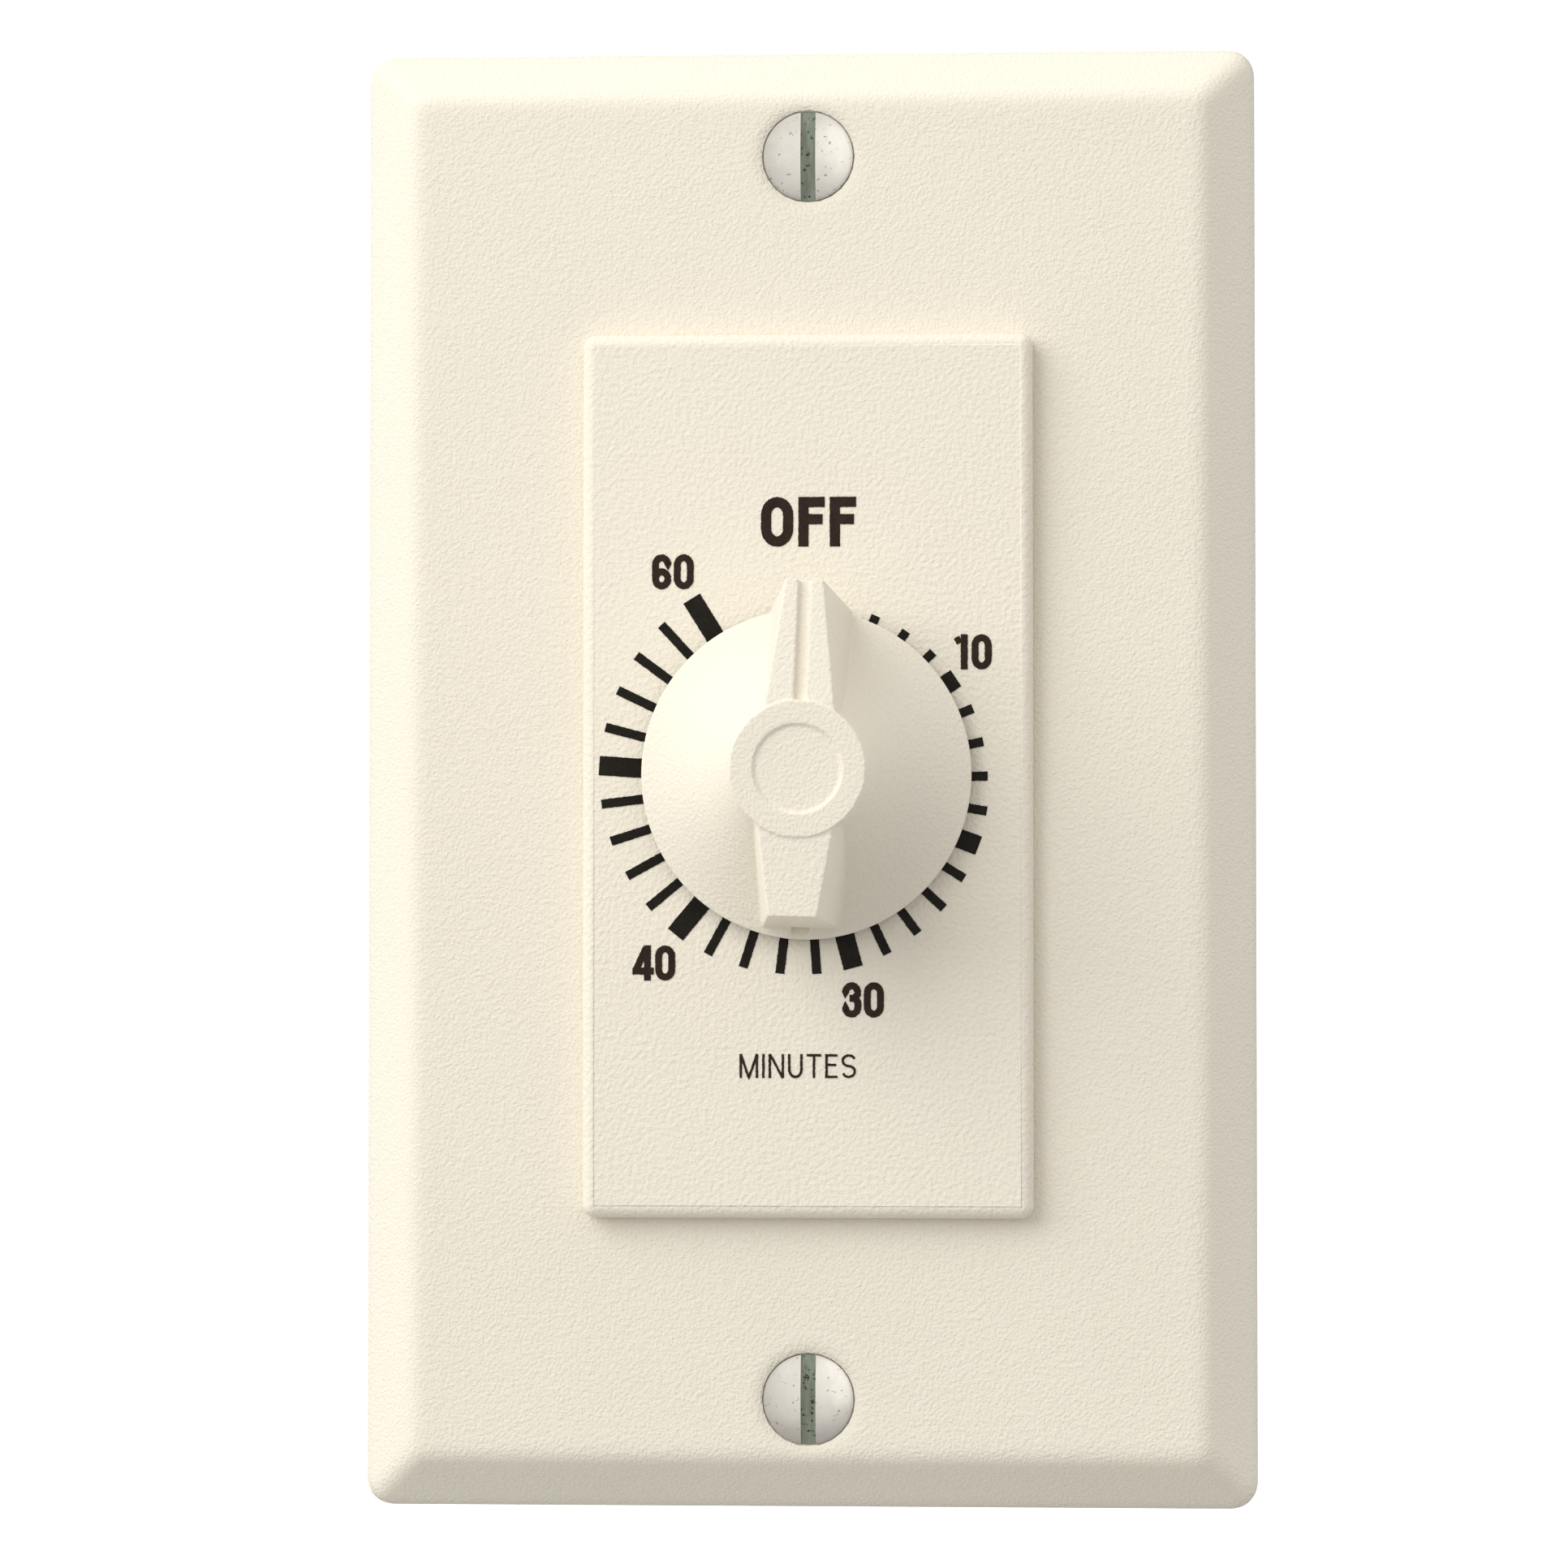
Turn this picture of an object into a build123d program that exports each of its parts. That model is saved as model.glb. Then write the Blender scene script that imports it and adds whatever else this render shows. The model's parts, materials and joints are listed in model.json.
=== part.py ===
"""Spring-wound timer light switch: bevelled wall plate, dial insert, pointer knob, clockwork and switch.

Millimetres. Each piece is drawn as it looks from the room: x to the right, y up, z out of the wall, with
the wall at z = 0 and the knob's axis at x = y = 0. The last lines stand the pieces up, so that +Z is up
and the front faces -Y. All pieces are drawn with the timer at OFF.
"""

from build123d import *
import os
from math import acos, asin, atan2, cos, degrees, hypot, pi, radians, sin, sqrt, tan

# Wall plate
plate_width = 69.85
plate_height = 114.3
plate_depth = 5.6
plate_wall = 2.0
plate_edge = 1.6
plate_bevel = 4.1
plate_corner = 2.2
plate_crease = 1.5
plate_side_wall = 1.7
plate_rim = 0.9
plate_ceiling_inset = 4.4
plate_rib_height = 1.5
plate_rib_thick = 1.2
plate_rib_set_out = 5.2
opening_width = 33.3
opening_height = 66.7
boss_radius = 3.15

# Screw places along the plate's middle
plate_screw_spacing = 96.84
box_screw_spacing = 83.34

# Oval-head plate screws and box screws, both 6-32
screw_radius = 1.75
screw_neck_radius = 1.5
oval_head_radius = 3.5
oval_head_dome = 0.8
oval_head_lip = 0.15
countersink_angle = 82
plate_screw_length = 12.7
slot_width = 1.15
slot_depth = 0.95
slot_depth_share = 0.5
box_screw_length = 25.4
box_head_radius = 3.35
box_head_height = 1.9
retainer_size = 9.0
retainer_thick = 1.0
retainer_play = 0.1

# Mounting strap
yoke_thick = 1.3
yoke_set_in = 4.15
yoke_strap_width = 19.8
yoke_centre_width = 43.0
yoke_centre_height = 62.0
ear_width = 33.0
ear_height = 8.6
ear_notch_radius = 1.3
yoke_corner = 1.5
strap_slot_length = 8.0
strap_slot_width = 4.0
bend_share = 0.6
ground_tab_width = 9.0
ground_tab_reach = 3.4
ground_tab_depth = 8.5
ground_screw_radius = 2.0
ground_screw_length = 4.2
ground_head_radius = 3.6
ground_head_height = 2.2

# Dial insert
insert_width = 35.0
insert_height = 68.6
insert_lip = 2.2
insert_round = 1.0
insert_face = 1.8
insert_wall = 1.6
insert_play = 0.25
insert_boss_wall = 1.8
insert_rib = 1.2
insert_rib_lift = 1.1
hook_width = 6.0
hook_reach = 0.8
hook_height = 1.0
hook_play = 0.05
hook_set_out = 9.5
hook_lead_share = 0.33

# Knob
knob_float = 0.8
knob_height = 15.0
skirt_radius = 12.75
skirt_edge = 0.9
skirt_wall = 1.5
cap_radius = 5.05
cap_depth = 1.6
waist_radius = 7.35
waist_height = 5.6
dish_radius = 3.5
dish_depth = 0.25
finger_start = 3.6
pointer_foot_halves = (4.81, 2.98)
pointer_top_halves = (2.76, 1.45)
pointer_overhang = 2.1
finger_step = 0.45
pointer_tip_height = 8.6
groove_width = 0.75
groove_depth = 1.3
tail_foot_halves = (4.6, 3.2)
tail_top_halves = (3.2, 1.65)
tail_end_reach = 11.2
tail_end_height = 5.0
tail_foot_reach = 12.1
tail_recess_width = 1.25
tail_recess_height = 1.1
tail_recess_depth = 0.6
skirt_bands = 5
dome_bands = 2
hub_wall = 1.5
hub_lift = 0.5
hub_ribs = 6
hub_rib_thick = 1.0
clip_thick = 0.4
clip_width = 3.6
clip_length = 6.6
clip_bow = 0.25

# Winding shaft
shaft_radius = 3.175
shaft_flat = 2.4
shaft_head_room = 1.0
bushing_wall = 1.55
bushing_flange_radius = 6.5
bushing_flange = 1.0
bushing_reach = 1.1
rear_journal_radius = 2.4
rear_flat = 1.9
shaft_tail = 0.8

# Movement frame
case_width = 44.0
case_height = 61.0
case_wall = 0.8
case_corner = 3.0
front_plate_thick = 1.0
rear_plate_thick = 1.0
movement_depth = 14.0
insulator_thick = 0.4
pillar_radius = 2.0
pillar_spigot = 1.2
pillar_inset_x = 3.2
pillar_inset_y = 6.5
pillar_screw_radius = 1.2
pillar_screw_bite = 4.5
pillar_head_radius = 2.0
pillar_head_height = 0.9
plate_pocket_width = 16.0
plate_pocket_height = 7.0

# Stop on the shaft
stop_gap = 0.4
stop_lug_thick = 1.2
stop_hub_radius = 4.6
stop_hub_thick = 2.4
stop_lug_reach = 8.3
stop_pin_radius = 1.0
stop_pin_distance = 7.0
stop_pin_reach = 3.0
stop_pin_angle = -30
stop_play = 0.03
knob_turn_range = 328

# Wheel train: all pairs share one tooth form
wheel_teeth = 40
pinion_leaves = 8
pressure_angle = 25
main_tooth_size = 0.58
second_tooth_size = 0.42
third_tooth_size = 0.34
wheel_addendum_share = 0.7
pinion_addendum_share = 0.8
root_clearance_share = 0.2
backlash_share = 0.16
second_direction = 60
third_direction = 150
escape_direction = 199.7
pallet_direction = 215
main_wheel_thick = 0.8
second_wheel_thick = 0.7
third_wheel_thick = 0.6
pinion_overlap = 0.6
main_rim = 1.5
main_wheel_hub = 5.2
spoke_width = 1.5
spoke_turns = (45, 135)
arbor_radius = 0.6
collet_radius = 1.3
collet_thick = 0.6
pivot_radius = 0.4
end_shake = 0.15
pivot_reach = 0.9
clutch_washer_height = 0.8
clutch_washer_thick = 0.25
clutch_washer_radius = 4.6
washer_crown_share = 0.4
clutch_collar_radius = 4.3
clutch_collar_thick = 1.2
second_wheel_gap = 1.7
third_wheel_gap = 1.8

# Escapement
escape_teeth = 15
escape_tip_radius = 5.2
escape_root_radius = 3.9
escape_tip_width = 0.16
escape_thick = 0.5
escape_gap = 2.3
escape_hub = 1.5
escape_rim = 1.0
tooth_back_share = 0.3
tooth_face_share = 0.12
pallet_span_pitches = 3.5
pallet_pin_radius = 0.25
pallet_pin_gap = 0.05
lever_thick = 0.5
lever_gap = 0.5
lever_arm_width = 1.2
lever_hub_radius = 1.5
pin_reach = 0.4
balance_gap = 1.3
balance_thick = 0.9
balance_length = 15.6
balance_width = 2.2
balance_end_radius = 1.8

# Mainspring
spring_strip = 0.3
spring_width = 5.0
spring_half_turns = 9
spring_step = 0.58
spring_chords = 6
spring_turned = 90
spring_arbor_radius = 3.6
spring_arbor_play = 0.05
spring_gap = 0.4
spring_tab_width = 0.6
spring_tab_depth = 0.9
spring_post_radius = 0.9
spring_eye_play = 0.05

# Switch block
switch_depth = 12.0
switch_floor = 2.2
switch_chamfer = 0.8
switch_cavity_width = 31.0
switch_cavity_height = 34.0
switch_core_wall = 1.8
switch_core_width = 36.0
terminal_pocket_depth = 4.5
terminal_pocket_low = 6.0
terminal_pocket_high = 16.4
terminal_roof = 2.6
housing_screw_x = 14.5
housing_screw_y = -24.0
housing_screw_radius = 1.4
housing_head_radius = 2.6
housing_head_height = 1.7
housing_screw_bite = 1.0
housing_head_seat = 7.0
cam_radius = 6.0
cam_thick = 1.8
cam_gap = 1.0
cam_notch_depth = 1.2
cam_notch_half = 2.2
notch_floor_share = 0.25
cam_play = 0.05
ring_radius = 3.6
ring_thick = 0.5
ring_seat_radius = 2.0
ring_mouth_share = 0.8
blade_thick = 0.4
blade_width = 3.4
blade_lift = 2.1
blade_root = 13.6
blade_tip = 10.6
nose_foot_share = 1.1
nose_tip_share = 0.12
contact_radius = 1.4
contact_height = 0.8
contact_reach = 9.0
contact_gap = 1.2
terminal_thick = 0.9
terminal_play = 0.05
terminal_height = 9.4
terminal_depth = 7.4
terminal_arm_foot = 0.4
load_arm_end = 9.4
line_arm_end = 6.6
terminal_screw_radius = 1.75
terminal_screw_bite = 1.6
terminal_head_radius = 3.3
terminal_head_height = 2.2

# How many sides and runs the hidden rounds are drawn with
skirt_sides = 48
dome_sides = 24
round_sides = 12
small_sides = 10
tiny_sides = 6
pillar_sides = 6
corner_sides = 2
quarter_turn = 90
full_turn = 360

# Clearances and cuts
running_gap = 0.03
press_gap = 0.01
slip_gap = 0.1
overrun = 1.0

# Sizes and levels out of the wall, worked out from the sizes above
yoke_height = plate_height - 2 * yoke_set_in
bushing_radius = shaft_radius + running_gap + bushing_wall
clip_room = clip_thick + clip_bow + running_gap
plate_ceiling = plate_depth - plate_wall
dial_face = plate_depth + insert_lip
skirt_bottom = dial_face + knob_float
cap_top = skirt_bottom + knob_height
finger_root_level = cap_top - finger_step
shaft_front = cap_top - dish_depth - 2 * shaft_head_room
front_plate_back = -front_plate_thick
rear_plate_front = front_plate_back - movement_depth
rear_plate_back = rear_plate_front - rear_plate_thick
switch_front = rear_plate_back - insulator_thick
switch_back = switch_front - switch_depth
stop_front = front_plate_back - stop_gap
main_wheel_front = stop_front - stop_hub_thick
main_wheel_back = main_wheel_front - main_wheel_thick
washer_back = main_wheel_back - clutch_washer_height
collar_back = washer_back - clutch_collar_thick
second_wheel_front = main_wheel_back - second_wheel_gap
second_wheel_back = second_wheel_front - second_wheel_thick
third_wheel_front = second_wheel_back - third_wheel_gap
third_wheel_back = third_wheel_front - third_wheel_thick
escape_front = third_wheel_back - escape_gap
escape_back = escape_front - escape_thick
lever_back = escape_front + lever_gap
lever_front = lever_back + lever_thick
balance_front = escape_back - balance_gap
balance_back = balance_front - balance_thick
spring_back = rear_plate_front + spring_gap
spring_front = spring_back + spring_width
cam_front = switch_front - cam_gap
cam_back = cam_front - cam_thick
ring_front = cam_back - running_gap
ring_back = ring_front - ring_thick
shaft_back = ring_back - shaft_tail
blade_front = (cam_front + cam_back + blade_width) / 2
blade_back = blade_front - blade_width

# Places in the switch block
wall_outside = case_width / 2 - terminal_pocket_depth
wall_inside = switch_cavity_width / 2
line_arm_low = cam_radius + blade_lift + blade_thick + contact_height * 2 + contact_gap
load_arm_low = cam_radius + blade_lift + blade_thick
terminal_middle = (terminal_pocket_low + terminal_pocket_high) / 2
terminal_top = switch_front - terminal_roof - terminal_play
terminal_screw_level = terminal_top - terminal_depth / 2

# Places in the movement
wheel_to_pinion = (wheel_teeth + pinion_leaves) / 2


def polar(distance, angle):
    """The point at a distance and an angle in degrees from the middle."""
    return Vector(distance * cos(radians(angle)), distance * sin(radians(angle)))


second_arbor_at = polar(main_tooth_size * wheel_to_pinion, second_direction)
third_arbor_at = second_arbor_at + polar(second_tooth_size * wheel_to_pinion, third_direction)
escape_arbor_at = third_arbor_at + polar(third_tooth_size * wheel_to_pinion, escape_direction)
pin_orbit = escape_tip_radius + pallet_pin_radius + pallet_pin_gap
half_span = full_turn / escape_teeth * pallet_span_pitches / 2
pallet_arbor_at = escape_arbor_at + polar(pin_orbit / cos(radians(half_span)), pallet_direction)
arbor_places = [second_arbor_at, third_arbor_at, escape_arbor_at, pallet_arbor_at]
pillar_places = [
    Vector(side * (case_width / 2 - pillar_inset_x), end * (case_height / 2 - pillar_inset_y))
    for side in (-1, 1)
    for end in (-1, 1)
]
plate_screw_places = [Vector(0, end * plate_screw_spacing / 2) for end in (-1, 1)]
box_screw_places = [Vector(0, end * box_screw_spacing / 2) for end in (-1, 1)]
housing_screw_places = [Vector(side * housing_screw_x, housing_screw_y) for side in (-1, 1)]
stop_pin_at = polar(stop_pin_distance, stop_pin_angle)
spring_first_radius = (
    (spring_arbor_radius + spring_arbor_play) / cos(pi / spring_chords / 2) + spring_strip / 2
)
spring_outer_radius = spring_first_radius + (spring_half_turns - 1) * spring_step
spring_eye_radius = spring_post_radius + spring_eye_play + spring_strip / 2
spring_post_at = polar(-spring_outer_radius - spring_eye_radius, spring_turned)


# Building blocks

def prism(outline, low, high):
    """An outline drawn in x and y, made solid from one level to another."""
    return extrude(Pos(0, 0, low) * outline, high - low)


def spot(at):
    """Moves an outline to a place in x and y."""
    return Pos(at.X, at.Y)


def disc(radius, sides=small_sides):
    """A round drawn with few sides, its corners on the circle."""
    return RegularPolygon(radius, sides)


def around(radius, sides=small_sides):
    """A hole with few sides, its flats on the circle, so that a pin turns free in it."""
    return RegularPolygon(radius, sides, major_radius=False)


def rod(radius, low, high, at=Vector(0, 0), sides=small_sides):
    """A bar along z, a round with few sides."""
    return prism(spot(at) * disc(radius, sides), low, high)


def sleeve(outer, inner, low, high, sides=round_sides):
    """A ring or tube along z, with a hole that a pin turns in."""
    return prism(disc(outer, sides) - around(inner, sides), low, high)


def outline_of(points):
    """A flat face with straight sides through the points."""
    return make_face(Polyline(*points, close=True))


def soft_rectangle(width, height, corner):
    """A rectangle whose rounded corners are drawn with few sides."""
    points = []
    for quarter, (side, end) in enumerate(((1, 1), (-1, 1), (-1, -1), (1, -1))):
        middle = Vector(side * (width / 2 - corner), end * (height / 2 - corner))
        for step in range(corner_sides + 1):
            points.append(middle + polar(corner, quarter_turn * (quarter + step / corner_sides)))
    return outline_of(points)


def slot_outline(length, width):
    """A slot or bar with rounded ends, along x."""
    reach = (length - width) / 2
    return Rectangle(2 * reach, width) + [Pos(side * reach, 0) * disc(width / 2) for side in (-1, 1)]


def banded(rings, sides):
    """A turned shape drawn with flat sides in sloping bands, from (radius, level) pairs going up."""
    corners = [
        [Vector(0, 0, level) + polar(radius, full_turn * side / sides) for side in range(sides)]
        for radius, level in rings
    ]
    faces = [outline_of(corners[0]), outline_of(corners[-1])]
    for ring, upper in zip(corners, corners[1:]):
        for side in range(sides):
            after = (side + 1) % sides
            faces.append(outline_of([ring[side], ring[after], upper[after], upper[side]]))
    return Solid(Shell(faces))


def several(solids):
    """Like pieces, kept as separate solids of one node."""
    return Compound([solid for shape in solids for solid in shape.solids()])


def sides_section(width, levels):
    """A closed section across the width, symmetric about z, from (inset, level) pairs."""
    right = [(width / 2 - inset, level) for inset, level in levels]
    left = [(-x, level) for x, level in reversed(right)]
    return right + left


def chamfered_block(width, height, levels):
    """A block whose four sides all follow one run of (inset, level) pairs, with mitred corners."""
    across = [(x, 0, level) for x, level in sides_section(width, levels)]
    along = [(0, y, level) for y, level in sides_section(height, levels)]
    reach = max(width, height)
    by_width = extrude(make_face(Polyline(*across, close=True)), reach, dir=(0, 1, 0), both=True)
    by_height = extrude(make_face(Polyline(*along, close=True)), reach, dir=(1, 0, 0), both=True)
    return by_width & by_height


# Wall plate and its screws

def countersink(at):
    """The sloped seat and hole for an oval-head screw in the plate's face."""
    rim = oval_head_radius + slip_gap
    corner_share = 1 / cos(pi / dome_sides)
    lip = plate_depth - oval_head_lip - press_gap
    seat_end = screw_radius + slip_gap
    seat_depth = (rim - seat_end) / tan(radians(countersink_angle / 2))
    mouth = plate_depth + overrun
    levels = [(seat_end, lip - seat_depth), (rim, lip), (rim, mouth)]
    seat = banded([(radius * corner_share, level) for radius, level in levels], dome_sides)
    hole = prism(around(seat_end), -overrun, mouth)
    return Pos(at.X, at.Y, 0) * (hole + seat)


def wall_plate():
    """The cover plate: bevelled all round, hollow behind, with ribs and screw bosses."""
    outer_levels = [(0, 0), (0, plate_edge), (plate_bevel, plate_depth)]
    shell = chamfered_block(plate_width, plate_height, outer_levels)
    shell &= prism(RectangleRounded(plate_width, plate_height, plate_corner), 0, plate_depth)
    front_edges = shell.faces().sort_by(Axis.Z)[-1].edges()
    mitres = [
        edge for edge in shell.edges().filter_by(GeomType.LINE)
        if abs((edge @ 1 - edge @ 0).Z) > plate_edge and abs((edge @ 1 - edge @ 0).X) > plate_edge
    ]
    shell = fillet(list(front_edges) + mitres, plate_crease)
    inner_width = plate_width - 2 * plate_side_wall
    inner_height = plate_height - 2 * plate_side_wall
    hollow_levels = [(0, -overrun), (0, plate_rim), (plate_ceiling_inset - plate_side_wall, plate_ceiling)]
    hollow = chamfered_block(inner_width, inner_height, hollow_levels)
    rib_low = plate_ceiling - plate_rib_height
    rib_x = opening_width / 2 + plate_rib_set_out
    rib_y = opening_height / 2 + plate_rib_set_out
    reach = plate_height
    ribs = []
    for side in (-1, 1):
        ribs.append(prism(Pos(side * rib_x, 0) * Rectangle(plate_rib_thick, reach), rib_low, plate_ceiling))
        ribs.append(prism(Pos(0, side * rib_y) * Rectangle(2 * rib_x, plate_rib_thick), rib_low, plate_ceiling))
    head_room = [
        prism(spot(at) * around(box_head_radius + 2 * slip_gap), rib_low - overrun, plate_ceiling)
        for at in box_screw_places
    ]
    bosses = [rod(boss_radius, yoke_thick, plate_ceiling, at) for at in plate_screw_places]
    opening = prism(Rectangle(opening_width, opening_height), -overrun, plate_depth + overrun)
    shell -= hollow
    shell += [(rib - head_room) & hollow for rib in ribs]
    shell += bosses
    shell -= opening
    shell -= [countersink(at) for at in plate_screw_places]
    return shell


def driver_slot(width, depth, reach, top):
    """A straight screwdriver slot along y, cut down from a level."""
    return prism(Rectangle(width, 2 * reach), top - depth, top + overrun)


def slotted_screw(head_radius, head_height, shank_radius, length, slot):
    """A screw seated at z = 0: a flat head above, with a slot along y, and its shank below."""
    head = rod(head_radius, 0, head_height)
    head -= driver_slot(slot, head_height * slot_depth_share, head_radius, head_height)
    return head + rod(shank_radius, -length, 0)


def oval_head_screw():
    """A slotted oval-head machine screw, seated in its countersink, its dome in sloping bands."""
    edge = plate_depth - press_gap
    lip = edge - oval_head_lip
    flat_share = cos(pi / dome_sides)
    depth = (oval_head_radius * flat_share - screw_radius) / tan(radians(countersink_angle / 2))
    ball_radius = (oval_head_radius ** 2 + oval_head_dome ** 2) / (2 * oval_head_dome)
    half_angle = asin(oval_head_radius / ball_radius)
    drop = edge + oval_head_dome - ball_radius
    angles = [half_angle * (1 - band / (dome_bands + 1)) for band in range(dome_bands + 1)]
    rings = [(ball_radius * sin(angle), drop + ball_radius * cos(angle)) for angle in angles]
    shank = rod(screw_radius, plate_depth - plate_screw_length, lip - depth / 2)
    screw = shank + banded([(screw_radius / flat_share, lip - depth), (oval_head_radius, lip), *rings], dome_sides)
    return screw - driver_slot(slot_width, slot_depth, oval_head_radius, edge + oval_head_dome)


def plate_screws():
    return several([Pos(at.X, at.Y, 0) * oval_head_screw() for at in plate_screw_places])


# Mounting strap and what fastens it

def ground_tab_place():
    """The middle of the bent ground tab's upper side."""
    tab_x = yoke_centre_width / 2 - yoke_corner - ground_tab_width / 2
    return Vector(tab_x, -(yoke_centre_height / 2 + ground_tab_reach), -ground_tab_depth / 2)


def yoke():
    """The steel strap: wide middle, end ears with notches, screw slots and a bent ground tab."""
    outline = soft_rectangle(yoke_centre_width, yoke_centre_height, yoke_corner)
    outline += soft_rectangle(yoke_strap_width, yoke_height, yoke_corner)
    for end in (-1, 1):
        ear_at = Pos(0, end * (yoke_height - ear_height) / 2)
        outline += ear_at * soft_rectangle(ear_width, ear_height, yoke_corner)
        outline -= [
            ear_at * Pos(side * yoke_strap_width / 2, edge * ear_height / 2) * disc(ear_notch_radius, tiny_sides)
            for side in (-1, 1)
            for edge in (-1, 1)
        ]
        outline -= Pos(0, end * box_screw_spacing / 2) * slot_outline(strap_slot_length, strap_slot_width)
        outline -= Pos(0, end * plate_screw_spacing / 2) * around(screw_radius + press_gap)
    outline -= disc(bushing_radius + press_gap, round_sides)
    outline -= [spot(at) * disc(pillar_screw_radius + press_gap) for at in pillar_places]
    tab = ground_tab_place()
    shelf = Pos(tab.X, tab.Y + ground_tab_reach / 2) * Rectangle(ground_tab_width, ground_tab_reach)
    leaf = Pos(tab.X, tab.Y - yoke_thick / 2) * Rectangle(ground_tab_width, yoke_thick)
    bent = prism(shelf, 0, yoke_thick) + prism(leaf, -ground_tab_depth, yoke_thick)
    outer_bend = bent.edges().filter_by(Axis.X).sort_by(lambda edge: edge.center().Z - edge.center().Y)[-1]
    bent = chamfer(outer_bend, yoke_thick * bend_share)
    bent -= Pos(tab) * Rot(90, 0, 0) * rod(ground_screw_radius + press_gap, -yoke_thick, 2 * yoke_thick)
    return prism(outline, 0, yoke_thick) + bent


def box_screw():
    """A slotted pan-head screw with a relieved neck, where its retainer grips it."""
    neck_end = -(retainer_thick + slip_gap)
    head = slotted_screw(box_head_radius, box_head_height, screw_neck_radius, yoke_thick - neck_end, slot_width)
    shank = prism(Circle(screw_radius), yoke_thick - box_screw_length, neck_end)
    return Pos(0, 0, yoke_thick) * head + shank


def box_screws():
    return several([Pos(at.X, at.Y, 0) * box_screw() for at in box_screw_places])


def screw_retainers():
    """Fibre squares behind the strap that keep the box screws captive."""
    square = Rectangle(retainer_size, retainer_size) - around(screw_neck_radius + retainer_play)
    return several([prism(spot(at) * square, -retainer_thick, 0) for at in box_screw_places])


def ground_screw():
    """The ground terminal's binding screw, through the bent tab from below."""
    screw = slotted_screw(
        ground_head_radius, ground_head_height, ground_screw_radius, ground_screw_length, slot_width
    )
    return Pos(ground_tab_place() - Vector(0, yoke_thick, 0)) * Rot(90, 0, 0) * screw


# Dial insert

def dial_plate():
    """The raised insert: rounded lip, hollow tub through the plate's opening, centre boss and hooks."""
    lip = Pos(0, 0, plate_depth + insert_lip / 2) * Box(insert_width, insert_height, insert_lip)
    corners = lip.edges().filter_by(Axis.Z)
    front = lip.faces().sort_by(Axis.Z)[-1].edges()
    lip = fillet(list(corners) + list(front), insert_round)
    tub_width = opening_width - 2 * insert_play
    tub_height = opening_height - 2 * insert_play
    roof = dial_face - insert_face
    tub = prism(Rectangle(tub_width, tub_height), yoke_thick, plate_depth)
    room = prism(
        Rectangle(tub_width - 2 * insert_wall, tub_height - 2 * insert_wall), yoke_thick - overrun, roof
    )
    bore_radius = bushing_radius + slip_gap
    boss_low = yoke_thick + bushing_flange + slip_gap
    boss = rod(bore_radius + insert_boss_wall, boss_low, roof, sides=round_sides)
    rib_low = yoke_thick + insert_rib_lift
    rib_clear = rod(bore_radius + insert_boss_wall / 2, rib_low - overrun, roof, sides=round_sides)
    across = Rectangle(tub_width - insert_wall, insert_rib)
    ribs = prism(Rectangle(insert_rib, tub_height - insert_wall), rib_low, roof)
    ribs += [prism(Pos(0, end * tub_height / 4) * across, rib_low, roof) for end in (-1, 0, 1)]
    hook_top = plate_ceiling - hook_play
    hooks = []
    for end in (-1, 1):
        wall_at = end * (tub_height / 2)
        nose = outline_of([
            (0, wall_at - end * insert_wall / 2, hook_top),
            (0, wall_at + end * hook_reach, hook_top),
            (0, wall_at + end * hook_reach, hook_top - hook_height * hook_lead_share),
            (0, wall_at, hook_top - hook_height),
            (0, wall_at - end * insert_wall / 2, hook_top - hook_height),
        ])
        for side in (-1, 1):
            hooks.append(Pos(side * hook_set_out, 0, 0) * extrude(nose, hook_width / 2, dir=(1, 0, 0), both=True))
    insert = lip + (tub - room) + hooks
    insert -= room
    insert += boss + (ribs - rib_clear)
    insert -= prism(around(bore_radius, round_sides), yoke_thick - overrun, dial_face + overrun)
    return insert


# Knob

def slope_level(reach, end_reach, end_height):
    """The level of a top that slopes from the cap's edge down to its own end."""
    end = skirt_bottom + end_height
    return finger_root_level + (end - finger_root_level) * (reach - cap_radius) / (end_reach - cap_radius)


def tapered_finger(foot_halves, top_halves, foot_reach, end_reach, end_height, direction):
    """A raised bar on the skirt that narrows and slopes away from the cap."""
    low = skirt_bottom + skirt_edge / 2
    foot_start, foot_end = foot_halves
    top_start, top_end = top_halves
    start_level = slope_level(finger_start, end_reach, end_height)
    end_level = slope_level(end_reach, end_reach, end_height)
    foot = [
        (-foot_start, direction * finger_start, low),
        (foot_start, direction * finger_start, low),
        (foot_end, direction * foot_reach, low),
        (-foot_end, direction * foot_reach, low),
    ]
    top = [
        (-top_start, direction * finger_start, start_level),
        (top_start, direction * finger_start, start_level),
        (top_end, direction * end_reach, end_level),
        (-top_end, direction * end_reach, end_level),
    ]
    walls = []
    for start, end in ((0, 1), (1, 2), (2, 3), (3, 0)):
        walls.append(outline_of([foot[start], foot[end], top[end]]))
        walls.append(outline_of([foot[start], top[end], top[start]]))
    finger = Solid(Shell([outline_of(foot), outline_of(top), *walls]))
    return finger & rod(2 * skirt_radius, low - overrun, finger_root_level)


def skirt_rings():
    """The volcano-shaped skirt as (radius, level) pairs: its edge, then its hollow curve in short runs."""
    edge_level = skirt_bottom + skirt_edge
    neck = (cap_radius, 0, cap_top - cap_depth)
    curve = ThreePointArc((skirt_radius, 0, edge_level), (waist_radius, 0, skirt_bottom + waist_height), neck)
    slope = [curve @ (run / skirt_bands) for run in range(skirt_bands + 1)]
    return [(skirt_radius, skirt_bottom)] + [(point.X, point.Z) for point in slope]


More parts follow.
